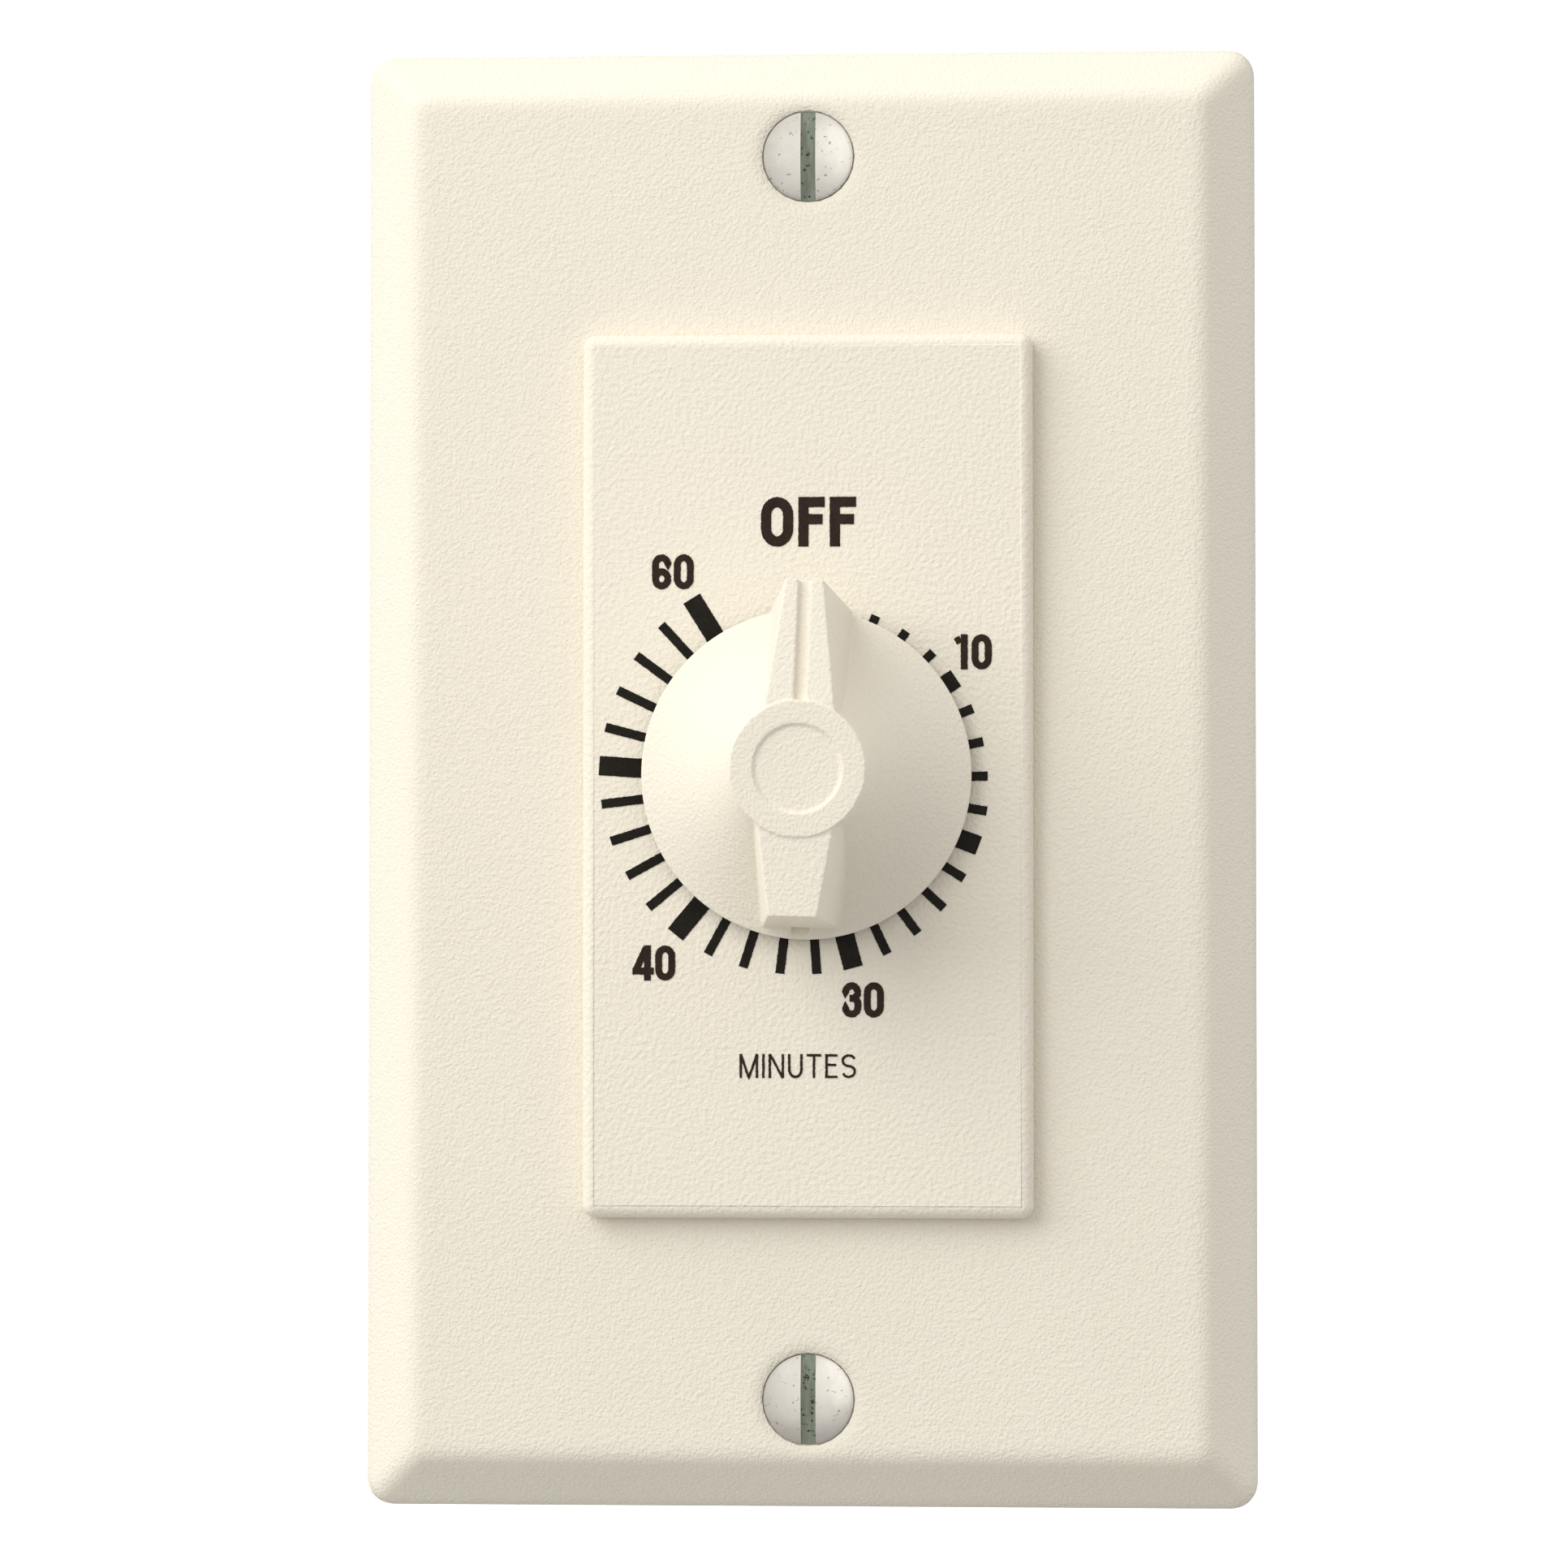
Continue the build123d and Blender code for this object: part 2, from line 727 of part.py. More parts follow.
def knob():
    """The pointer knob: skirt, cap, pointer, tail, and the ribbed hollow with its keyed hub."""
    body = banded(skirt_rings(), skirt_sides)
    pointer_reach = skirt_radius + pointer_overhang
    body += tapered_finger(
        pointer_foot_halves, pointer_top_halves, skirt_radius - press_gap, pointer_reach, pointer_tip_height, 1
    )
    body += tapered_finger(
        tail_foot_halves, tail_top_halves, tail_foot_reach, tail_end_reach, tail_end_height, -1
    )
    cap = prism(Circle(cap_radius), cap_top - 2 * cap_depth, cap_top)
    body += cap
    tip = pointer_reach + overrun
    floor = [(0, at, slope_level(at, pointer_reach, pointer_tip_height) - groove_depth) for at in (cap_radius, tip)]
    groove = outline_of([*floor, (0, tip, cap_top), (0, cap_radius, cap_top)])
    body -= extrude(groove, groove_width / 2, dir=(1, 0, 0), both=True)
    body -= prism(disc(dish_radius, dome_sides), cap_top - dish_depth, cap_top + overrun)
    recess_level = skirt_bottom + (skirt_edge + tail_end_height) / 2
    recess_at = -(tail_end_reach + tail_foot_reach) / 2
    body -= Pos(0, recess_at, recess_level) * Box(
        tail_recess_width, 2 * tail_recess_depth, tail_recess_height
    )
    hub_radius = shaft_radius + running_gap + hub_wall
    hollow_radius = skirt_radius - skirt_wall
    hollow_angle = atan2(skirt_radius - waist_radius, waist_height - skirt_edge)
    hollow = extrude(
        Pos(0, 0, skirt_bottom) * disc(hollow_radius, dome_sides), (hollow_radius - hub_radius) / tan(hollow_angle),
        taper=degrees(hollow_angle),
    )
    hub = rod(hub_radius, skirt_bottom + hub_lift, cap_top, sides=round_sides)
    spread = full_turn / hub_ribs
    spines = [
        prism(Rot(0, 0, spread * (turn + 1 / 2)) * Pos(skirt_radius / 2, 0)
              * Rectangle(skirt_radius, hub_rib_thick), skirt_bottom + 2 * hub_lift, cap_top)
        for turn in range(hub_ribs)
    ]
    body -= hollow - [hub, *spines]
    bore = around(shaft_radius + running_gap, round_sides) & (
        Pos(0, -overrun) * Rectangle(2 * skirt_radius, 2 * (shaft_flat + clip_room + overrun))
    )
    body -= prism(bore, skirt_bottom - overrun, shaft_front + shaft_head_room)
    return body


def knob_clip():
    """A bowed spring strip between the shaft's flat and the hub, which grips the knob on."""
    inner = shaft_flat + press_gap
    low = shaft_front - clip_length
    middle = (low + shaft_front) / 2
    belly = [(0, inner + clip_bow, low), (0, inner, middle), (0, inner + clip_bow, shaft_front)]
    back = [(0, y + clip_thick, level) for _, y, level in reversed(belly)]
    strip = extrude(outline_of(belly + back), clip_width / 2, dir=(1, 0, 0), both=True)
    return strip & rod(shaft_radius, low, shaft_front, sides=round_sides)


# Shaft and what turns with it

def keyed(radius, flat, low, high):
    """A round bar with one flat, towards +y."""
    return prism(disc(radius, round_sides) & Pos(0, flat - radius) * Rectangle(2 * radius, 2 * radius), low, high)


def main_shaft():
    """The winding shaft: flat for the knob, spring arbor, rear journal and flat for the cam."""
    arbor_front = spring_front + spring_gap
    front = rod(shaft_radius, arbor_front, skirt_bottom, sides=round_sides)
    front += keyed(shaft_radius, shaft_flat, skirt_bottom, shaft_front)
    arbor = rod(spring_arbor_radius, rear_plate_front + end_shake, arbor_front, sides=round_sides)
    slot = Rot(0, 0, spring_turned) * Pos(spring_arbor_radius, 0) * Rectangle(
        2 * (spring_tab_depth + slip_gap), spring_tab_width + 2 * slip_gap
    )
    arbor -= prism(slot, rear_plate_front - overrun, spring_front + slip_gap)
    rear = rod(rear_journal_radius, cam_front + slip_gap, rear_plate_front + end_shake, sides=round_sides)
    end = keyed(rear_journal_radius, rear_flat, shaft_back, cam_front + slip_gap)
    groove = disc(rear_journal_radius + overrun) - disc(ring_seat_radius)
    end -= prism(groove, ring_back - press_gap, ring_front + press_gap)
    return front + arbor + rear + end


def shaft_bushing():
    """Flanged bushing, pressed in the strap, in which the shaft turns."""
    bore = shaft_radius + running_gap
    barrel = sleeve(bushing_radius, bore, front_plate_back, dial_face - bushing_reach)
    return barrel + sleeve(bushing_flange_radius, bore, yoke_thick, yoke_thick + bushing_flange)


def stop_disc():
    """Hub with one radial lug, which meets the stop pin at both ends of the turn."""
    pin_half = degrees(asin((stop_pin_radius + stop_play) / stop_pin_distance))
    idle_half = (full_turn - knob_turn_range) / 2
    lug_half = idle_half - pin_half
    lug_middle = stop_pin_angle - idle_half
    lug = outline_of([
        Vector(0, 0),
        polar(stop_lug_reach, lug_middle - lug_half),
        polar(stop_lug_reach, lug_middle + lug_half),
    ])
    hub = rod(stop_hub_radius, main_wheel_front, stop_front)
    bore = prism(around(shaft_radius + press_gap, round_sides), main_wheel_front - overrun, stop_front + overrun)
    return (hub + prism(lug, stop_front - stop_lug_thick, stop_front)) - bore


def stop_pin():
    """The pin riveted in the front plate that the lug meets."""
    return rod(stop_pin_radius, -stop_pin_reach, 0, stop_pin_at)


def clutch_spring():
    """Bowed spring washer that presses the main wheel against the stop disc's hub."""
    rise = clutch_washer_height - clutch_washer_thick
    crown = clutch_washer_radius * washer_crown_share
    bow = [
        (-clutch_washer_radius, main_wheel_back),
        (-crown, main_wheel_back - rise),
        (crown, main_wheel_back - rise),
        (clutch_washer_radius, main_wheel_back),
    ]
    front = [(x, 0, level) for x, level in bow]
    back = [(x, 0, level - clutch_washer_thick) for x, level in reversed(bow)]
    bent = extrude(outline_of(front + back), clutch_washer_radius, dir=(0, 1, 0), both=True)
    ring = disc(clutch_washer_radius) - around(shaft_radius + slip_gap)
    return bent & prism(ring, washer_back, main_wheel_back)


def clutch_collar():
    """Collar fixed on the shaft, which loads the clutch spring."""
    return sleeve(clutch_collar_radius, shaft_radius + press_gap, collar_back, washer_back)


# Toothed wheels

def involute(angle):
    """The involute function of an angle in radians."""
    return tan(angle) - angle


def tooth_half_angle(radius, pitch_radius, teeth, module):
    """Half of a tooth's width at a radius, as an angle in radians about the wheel's middle."""
    base = pitch_radius * cos(radians(pressure_angle))
    at_radius = acos(min(1, base / radius))
    at_pitch = pi / 2 / teeth - backlash_share * module / 4 / pitch_radius
    return at_pitch + involute(radians(pressure_angle)) - involute(at_radius)


def on_tooth(radius, angle):
    """A point at a radius and an angle in radians."""
    return (radius * cos(angle), radius * sin(angle))


def wheel_outline(module):
    """A large wheel's toothed rim. Its flanks are so nearly straight that lines serve."""
    pitch_radius = module * wheel_teeth / 2
    tip = pitch_radius + wheel_addendum_share * module
    root = pitch_radius - (pinion_addendum_share + root_clearance_share) * module
    tip_half = tooth_half_angle(tip, pitch_radius, wheel_teeth, module)
    root_half = tooth_half_angle(root, pitch_radius, wheel_teeth, module)
    points = []
    for tooth in range(wheel_teeth):
        middle = 2 * pi * tooth / wheel_teeth
        points += [
            on_tooth(root, middle - root_half),
            on_tooth(tip, middle - tip_half),
            on_tooth(tip, middle + tip_half),
            on_tooth(root, middle + root_half),
        ]
    return outline_of(points)


def pinion_outline(module):
    """A small pinion: straight flanks down to the base circle and on to the root."""
    pitch_radius = module * pinion_leaves / 2
    base = pitch_radius * cos(radians(pressure_angle))
    tip = pitch_radius + pinion_addendum_share * module
    root = pitch_radius - (wheel_addendum_share + root_clearance_share) * module
    base_half = tooth_half_angle(base, pitch_radius, pinion_leaves, module)
    tip_half = tooth_half_angle(tip, pitch_radius, pinion_leaves, module)
    flank = [(root, base_half), (base, base_half), (tip, tip_half)]
    points = []
    for leaf in range(pinion_leaves):
        middle = 2 * pi * (leaf + 1 / 2) / pinion_leaves
        points += [on_tooth(radius, middle - half) for radius, half in flank]
        points += [on_tooth(radius, middle + half) for radius, half in reversed(flank)]
    return outline_of(points)


def toothed_wheel(module, bore_radius, low, high):
    """A plain toothed wheel, its middle at the origin and a tooth towards +x."""
    return prism(wheel_outline(module) - around(bore_radius, round_sides), low, high)


def placed(part, at, angle):
    """A piece turned about its own middle, then put on its arbor."""
    return Pos(at.X, at.Y, 0) * Rot(0, 0, angle) * part


def main_wheel():
    """The great wheel, crossed out to four spokes."""
    wheel = toothed_wheel(main_tooth_size, shaft_radius + press_gap, main_wheel_back, main_wheel_front)
    root = main_tooth_size * (wheel_teeth / 2 - pinion_addendum_share - root_clearance_share)
    windows = disc(root - main_rim, round_sides) - disc(main_wheel_hub)
    windows -= [Rot(0, 0, turn) * Rectangle(2 * root, spoke_width) for turn in spoke_turns]
    wheel -= prism(windows, main_wheel_back, main_wheel_front)
    return Rot(0, 0, second_direction) * wheel


def arbor_blank(low_shoulder, high_shoulder):
    """A plain arbor with a thin pivot at each end, run from plate to plate."""
    back = rear_plate_front + end_shake
    front = front_plate_back - end_shake
    blank = rod(arbor_radius, back, front, sides=tiny_sides)
    blank += rod(pivot_radius, rear_plate_front - pivot_reach, back, sides=tiny_sides)
    blank += rod(pivot_radius, front, front_plate_back + pivot_reach, sides=tiny_sides)
    blank += rod(collet_radius, low_shoulder, high_shoulder)
    return blank


def train_pinion(at, module, driving_front, driving_back, wheel_front, direction):
    """An arbor cut with a pinion, with a seat in front of its own wheel. A leaf gap faces the driver."""
    leaves = prism(pinion_outline(module), driving_back - pinion_overlap, driving_front + pinion_overlap)
    blank = arbor_blank(wheel_front, wheel_front + collet_thick)
    return placed(blank + leaves, at, direction + 180)


def second_pinion():
    return train_pinion(
        second_arbor_at, main_tooth_size, main_wheel_front, main_wheel_back, second_wheel_front, second_direction
    )


def second_wheel():
    wheel = toothed_wheel(second_tooth_size, arbor_radius + press_gap, second_wheel_back, second_wheel_front)
    return placed(wheel, second_arbor_at, third_direction)


def third_pinion():
    return train_pinion(
        third_arbor_at, second_tooth_size, second_wheel_front, second_wheel_back, third_wheel_front, third_direction
    )


def third_wheel():
    wheel = toothed_wheel(third_tooth_size, arbor_radius + press_gap, third_wheel_back, third_wheel_front)
    return placed(wheel, third_arbor_at, escape_direction)


def escape_pinion():
    return train_pinion(
        escape_arbor_at, third_tooth_size, third_wheel_front, third_wheel_back, escape_front, escape_direction
    )


# Escapement

def escape_wheel():
    """Pointed teeth, set a quarter pitch off both pallet pins at rest."""
    pitch = 2 * pi / escape_teeth
    tip_half = escape_tip_width / 2 / escape_tip_radius
    points = []
    for tooth in range(escape_teeth):
        middle = pitch * tooth
        points += [
            on_tooth(escape_root_radius, middle - pitch * tooth_back_share),
            on_tooth(escape_tip_radius, middle - tip_half),
            on_tooth(escape_tip_radius, middle + tip_half),
            on_tooth(escape_root_radius, middle + pitch * tooth_face_share),
        ]
    inside = escape_root_radius - escape_rim
    rim = outline_of(points) - disc(inside) + disc(escape_hub, tiny_sides)
    rim += [Rot(0, 0, turn) * Rectangle(2 * inside + escape_rim, spoke_width / 2) for turn in spoke_turns]
    wheel = prism(rim - around(arbor_radius + press_gap, tiny_sides), escape_back, escape_front)
    return placed(wheel, escape_arbor_at, pallet_direction + half_span + full_turn / escape_teeth / 4)


def pin_places():
    """The middles of the two pallet pins."""
    return [
        escape_arbor_at + polar(pin_orbit, pallet_direction + side * half_span) for side in (-1, 1)
    ]


def pallet_arbor():
    blank = arbor_blank(lever_front, lever_front + collet_thick)
    return placed(blank, pallet_arbor_at, 0)


def bar_between(start, end, width):
    """A flat bar with round ends between two points."""
    span = end - start
    middle = (start + end) / 2
    turned = degrees(atan2(span.Y, span.X))
    return spot(middle) * Rot(0, 0, turned) * slot_outline(hypot(span.X, span.Y) + width, width)


def pallet_lever():
    """The two-armed lever that carries the pins."""
    outline = spot(pallet_arbor_at) * disc(lever_hub_radius)
    outline += [bar_between(pallet_arbor_at, pin, lever_arm_width) for pin in pin_places()]
    outline -= spot(pallet_arbor_at) * around(arbor_radius + press_gap, tiny_sides)
    outline -= [spot(pin) * disc(pallet_pin_radius, tiny_sides) for pin in pin_places()]
    return prism(outline, lever_back, lever_front)


def pallet_pins():
    """Hard steel pins that catch the escape wheel's teeth in turn."""
    low = escape_back - pin_reach
    return several([rod(pallet_pin_radius, low, lever_front, pin, tiny_sides) for pin in pin_places()])


def balance_bar():
    """The bar with weighted ends, whose inertia sets the beat."""
    reach = balance_length / 2 - balance_end_radius
    bar = Rectangle(balance_width, 2 * reach)
    bar += [Pos(0, end * reach) * disc(balance_end_radius) for end in (-1, 1)]
    bar -= around(arbor_radius + press_gap, tiny_sides)
    return Pos(pallet_arbor_at.X, pallet_arbor_at.Y, 0) * prism(bar, balance_back, balance_front)


# Mainspring

def spiral_side(offset):
    """One face of the spring's strip: half turns about two alternating middles, in short chords."""
    points = [(spring_first_radius + offset, 0)]
    for turn in range(spring_half_turns):
        radius = spring_first_radius + turn * spring_step + offset
        for chord in range(spring_chords):
            angle = pi * (turn + (chord + 1) / spring_chords)
            points.append((spring_step * (turn % 2) + radius * cos(angle), radius * sin(angle)))
    return points


def mainspring():
    """A flat spiral strip, with a tab in the arbor's slot and an eye round its post."""
    strip = outline_of(spiral_side(spring_strip / 2) + spiral_side(-spring_strip / 2)[::-1])
    eye = disc(spring_eye_radius + spring_strip / 2) - disc(spring_eye_radius - spring_strip / 2)
    strip += Pos(-spring_outer_radius - spring_eye_radius, 0) * eye
    tab_length = spring_first_radius - spring_arbor_radius + spring_tab_depth
    strip += Pos(spring_first_radius - tab_length / 2, 0) * Rectangle(tab_length, spring_tab_width)
    return Rot(0, 0, spring_turned) * prism(strip, spring_back, spring_front)


def spring_post():
    """The riveted post that holds the spring's outer end."""
    return rod(spring_post_radius, rear_plate_back, spring_front, spring_post_at)


# Movement frame

def movement_case():
    """The drawn case round the clockwork, from the strap to the rear plate."""
    wall = soft_rectangle(case_width, case_height, case_corner)
    wall -= soft_rectangle(case_width - 2 * case_wall, case_height - 2 * case_wall, case_corner - case_wall)
    return prism(wall, rear_plate_front, 0)


def plate_holes(pillar_hole, pillar_hole_sides):
    """Pivot and pillar holes that both movement plates share."""
    holes = [spot(at) * around(pivot_radius + running_gap, tiny_sides) for at in arbor_places]
    holes += [spot(at) * disc(pillar_hole + press_gap, pillar_hole_sides) for at in pillar_places]
    return holes


def front_plate():
    inset = 2 * (case_wall + slip_gap)
    outline = soft_rectangle(case_width - inset, case_height - inset, case_corner - case_wall)
    outline -= plate_holes(pillar_screw_radius, small_sides)
    outline -= disc(bushing_radius + press_gap, round_sides)
    outline -= spot(stop_pin_at) * disc(stop_pin_radius + press_gap)
    pocket_at = Pos(0, -case_height / 2 + plate_pocket_height)
    outline -= pocket_at * slot_outline(plate_pocket_width, plate_pocket_height / 2)
    return prism(outline, front_plate_back, 0)


def rear_plate():
    outline = soft_rectangle(case_width, case_height, case_corner)
    outline -= plate_holes(pillar_spigot, tiny_sides)
    outline -= around(rear_journal_radius + running_gap, round_sides)
    outline -= [spot(at) * disc(housing_screw_radius + press_gap) for at in housing_screw_places]
    outline -= spot(spring_post_at) * disc(spring_post_radius + press_gap)
    return prism(outline, rear_plate_back, rear_plate_front)


def pillars():
    """Four six-sided spacers between the plates, riveted behind and tapped in front."""
    blank = rod(pillar_radius, rear_plate_front, front_plate_back, sides=pillar_sides)
    blank += rod(pillar_spigot, rear_plate_back, rear_plate_front, sides=tiny_sides)
    bore = disc(pillar_screw_radius + press_gap)
    blank -= prism(bore, front_plate_back - pillar_screw_bite - slip_gap, overrun)
    return several([Pos(at.X, at.Y, 0) * blank for at in pillar_places])


def pillar_screws():
    """Small slotted screws through the strap and front plate into the pillars."""
    length = yoke_thick - front_plate_back + pillar_screw_bite
    screw = slotted_screw(pillar_head_radius, pillar_head_height, pillar_screw_radius, length, slot_width / 2)
    return several([Pos(at.X, at.Y, yoke_thick) * screw for at in pillar_places])


def insulator():
    """Fibre sheet between the steel plate and the live contacts."""
    outline = soft_rectangle(case_width, case_height, case_corner)
    outline -= around(rear_journal_radius + slip_gap)
    outline -= [spot(at) * disc(housing_screw_radius + press_gap) for at in housing_screw_places]
    return prism(outline, switch_front, rear_plate_back)


# Switch block

def arm_slots(play):
    """Where the two terminal arms pass through the block's inner walls, as (side, low, high)."""
    return [
        (-1, line_arm_low - play, line_arm_low + terminal_thick + play),
        (1, load_arm_low - play, load_arm_low + terminal_thick + play),
    ]


def switch_housing():
    """The moulded block: contact chamber, two terminal pockets open to the side and rear."""
    block = prism(soft_rectangle(case_width, case_height, case_corner), switch_back, switch_front)
    block = chamfer(block.faces().sort_by(Axis.Z)[0].edges(), switch_chamfer)
    floor = switch_back + switch_floor
    block -= prism(Rectangle(switch_cavity_width, switch_cavity_height), floor, switch_front + overrun)
    core_height = (case_height - switch_cavity_height) / 2 - 2 * switch_core_wall
    core_y = (case_height + switch_cavity_height) / 4
    low_core_width = 2 * (housing_screw_x - housing_head_radius) - switch_floor
    for end, core_width in ((1, switch_core_width), (-1, low_core_width)):
        core = Pos(0, end * core_y) * Rectangle(core_width, core_height)
        block -= prism(core, floor, switch_front + overrun)
    pocket_height = terminal_pocket_high - terminal_pocket_low
    for side, low, high in arm_slots(terminal_play):
        pocket = Pos(side * (case_width / 2 + overrun / 2 - terminal_pocket_depth / 2), terminal_middle)
        pocket *= Rectangle(terminal_pocket_depth + overrun, pocket_height)
        block -= prism(pocket, switch_back - overrun, switch_front - terminal_roof)
        slot = Pos(side * (wall_inside + wall_outside) / 2, (low + high) / 2)
        slot *= Rectangle(wall_outside - wall_inside + 2 * overrun, high - low)
        block -= prism(slot, blade_back - terminal_arm_foot - terminal_play, switch_front + overrun)
        reach = wall_outside - wall_inside + overrun
        hole = rod(terminal_screw_radius + press_gap, -reach, reach)
        block -= Pos(side * wall_outside, terminal_middle, terminal_screw_level) * Rot(0, side * 90, 0) * hole
    for at in housing_screw_places:
        block -= rod(housing_screw_radius + slip_gap, switch_back - overrun, switch_front + overrun, at)
        block -= rod(housing_head_radius + slip_gap, switch_back - overrun, switch_back + housing_head_seat, at)
    return block


def housing_screws():
    """Screws through the block into the rear plate, with their heads sunk in its back."""
    seat = switch_back + housing_head_seat
    length = rear_plate_front + housing_screw_bite - seat
    screw = slotted_screw(housing_head_radius, housing_head_height, housing_screw_radius, length, slot_width)
    return several([Pos(at.X, at.Y, seat) * Rot(180, 0, 0) * screw for at in housing_screw_places])


def switch_cam():
    """The cam on the shaft's end. Its notch is up at OFF and lets the contacts part."""
    shoulder = sqrt(cam_radius ** 2 - cam_notch_half ** 2)
    notch = outline_of([
        (-cam_notch_half, cam_radius + overrun),
        (-cam_notch_half, shoulder),
        (-cam_notch_half * notch_floor_share, cam_radius - cam_notch_depth),
        (cam_notch_half * notch_floor_share, cam_radius - cam_notch_depth),
        (cam_notch_half, shoulder),
        (cam_notch_half, cam_radius + overrun),
    ])
    flat = Pos(0, rear_flat + press_gap - cam_radius) * Rectangle(2 * cam_radius, 2 * cam_radius)
    key = around(rear_journal_radius + press_gap, round_sides) & flat
    return prism(disc(cam_radius, round_sides) - notch - key, cam_back, cam_front)


def cam_ring():
    """Snap ring that keeps the cam on the shaft."""
    ring = disc(ring_radius) - disc(ring_seat_radius + press_gap)
    ring -= Pos(0, -ring_radius) * Rectangle(2 * ring_seat_radius * ring_mouth_share, 2 * ring_radius)
    return prism(ring, ring_back, ring_front)


def terminal(side, arm_low, arm_end):
    """A bent brass terminal: a plate in its pocket and an arm through the wall to the contacts."""
    inner = wall_outside
    plate = Pos(side * (inner + terminal_thick / 2), terminal_middle) * Rectangle(terminal_thick, terminal_height)
    body = prism(plate, terminal_top - terminal_depth, terminal_top)
    arm_back = blade_back - terminal_arm_foot
    arm_level = arm_low + terminal_thick / 2
    for start, front in ((inner, blade_front), (inner + terminal_thick, terminal_top)):
        length = start - arm_end
        arm = Pos(side * (arm_end + length / 2), arm_level) * Rectangle(length, terminal_thick)
        body += prism(arm, arm_back, front)
    hole = rod(terminal_screw_radius + press_gap, -overrun, terminal_thick + overrun)
    body -= Pos(side * inner, terminal_middle, terminal_screw_level) * Rot(0, side * 90, 0) * hole
    return body


def line_terminal():
    return terminal(-1, line_arm_low, line_arm_end)


def load_terminal():
    return terminal(1, load_arm_low, load_arm_end)


def terminal_screws():
    """Binding-head screws, one in each side pocket."""
    length = terminal_thick + wall_outside - wall_inside + terminal_screw_bite
    screw = slotted_screw(terminal_head_radius, terminal_head_height, terminal_screw_radius, length, slot_width)
    reach = wall_outside + terminal_thick
    return several([
        Pos(side * reach, terminal_middle, terminal_screw_level) * Rot(0, side * 90, 0) * screw
        for side in (-1, 1)
    ])


def contact_button(low, high, reach):
    """A round contact rivet standing along y."""
    middle = (blade_front + blade_back) / 2
    return Pos(-reach, high, middle) * Rot(90, 0, 0) * rod(contact_radius, 0, high - low)


def moving_blade():
    """The springy contact strip, with the bent nose that rests in the cam's notch at OFF."""
    level = load_arm_low - blade_thick / 2
    nose = cam_radius - cam_notch_depth + cam_play + blade_thick / 2
    path = [
        (blade_root, level),
        (cam_notch_half * nose_foot_share, level),
        (cam_notch_half * nose_tip_share, nose),
        (-cam_notch_half * nose_tip_share, nose),
        (-cam_notch_half * nose_foot_share, level),
        (-blade_tip, level),
    ]
    upper = [(x, y + blade_thick / 2) for x, y in path]
    lower = [(x, y - blade_thick / 2) for x, y in path]
    strip = prism(outline_of(upper + lower[::-1]), blade_back, blade_front)
    return strip + contact_button(load_arm_low, load_arm_low + contact_height, contact_reach)


def fixed_contact():
    """The silver button under the line terminal's arm."""
    return contact_button(line_arm_low - contact_height, line_arm_low, contact_reach)


# All pieces, by name

pieces = {
    "wall_plate": wall_plate,
    "plate_screws": plate_screws,
    "yoke": yoke,
    "box_screws": box_screws,
    "screw_retainers": screw_retainers,
    "ground_screw": ground_screw,
    "dial_plate": dial_plate,
    "knob": knob,
    "knob_clip": knob_clip,
    "main_shaft": main_shaft,
    "shaft_bushing": shaft_bushing,
    "stop_disc": stop_disc,
    "stop_pin": stop_pin,
    "main_wheel": main_wheel,
    "clutch_spring": clutch_spring,
    "clutch_collar": clutch_collar,
    "second_pinion": second_pinion,
    "second_wheel": second_wheel,
    "third_pinion": third_pinion,
    "third_wheel": third_wheel,
    "escape_pinion": escape_pinion,
    "escape_wheel": escape_wheel,
    "pallet_arbor": pallet_arbor,
    "pallet_lever": pallet_lever,
    "pallet_pins": pallet_pins,
    "balance_bar": balance_bar,
    "mainspring": mainspring,
    "spring_post": spring_post,
    "movement_case": movement_case,
    "front_plate": front_plate,
    "rear_plate": rear_plate,
    "pillars": pillars,
    "pillar_screws": pillar_screws,
    "insulator": insulator,
    "switch_housing": switch_housing,
    "housing_screws": housing_screws,
    "switch_cam": switch_cam,
    "cam_ring": cam_ring,
    "line_terminal": line_terminal,
    "load_terminal": load_terminal,
    "terminal_screws": terminal_screws,
    "moving_blade": moving_blade,
    "fixed_contact": fixed_contact,
}

upright = Rot(90, 0, 0)
os.makedirs("parts", exist_ok=True)
for name, make in pieces.items():
    export_step(upright * make(), os.path.join("parts", name + ".step"))
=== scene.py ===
"""Timer light switch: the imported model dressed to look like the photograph.

Everything is in metres in the row frame: x to the right, z up, and -y out of the wall towards the room.
Sizes are written in millimetres and turned into metres by mm.
"""

import json
import math
import random

import bmesh
import bpy
from mathutils import Matrix, Vector


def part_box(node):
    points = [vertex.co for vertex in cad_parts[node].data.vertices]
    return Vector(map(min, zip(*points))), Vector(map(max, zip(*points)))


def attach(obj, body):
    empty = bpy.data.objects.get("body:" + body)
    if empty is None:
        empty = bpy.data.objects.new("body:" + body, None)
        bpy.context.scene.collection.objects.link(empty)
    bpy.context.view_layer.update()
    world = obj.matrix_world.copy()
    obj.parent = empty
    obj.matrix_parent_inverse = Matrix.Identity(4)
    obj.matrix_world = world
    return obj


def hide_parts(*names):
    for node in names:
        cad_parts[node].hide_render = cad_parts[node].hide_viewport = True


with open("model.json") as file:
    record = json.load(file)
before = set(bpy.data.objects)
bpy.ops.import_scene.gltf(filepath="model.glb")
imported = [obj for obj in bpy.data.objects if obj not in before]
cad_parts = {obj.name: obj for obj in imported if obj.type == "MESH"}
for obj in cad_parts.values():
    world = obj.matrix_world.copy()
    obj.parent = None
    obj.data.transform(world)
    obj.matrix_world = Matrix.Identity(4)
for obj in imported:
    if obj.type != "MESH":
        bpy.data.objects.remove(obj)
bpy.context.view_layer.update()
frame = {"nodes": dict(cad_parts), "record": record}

mm = 0.001
random.seed(7)

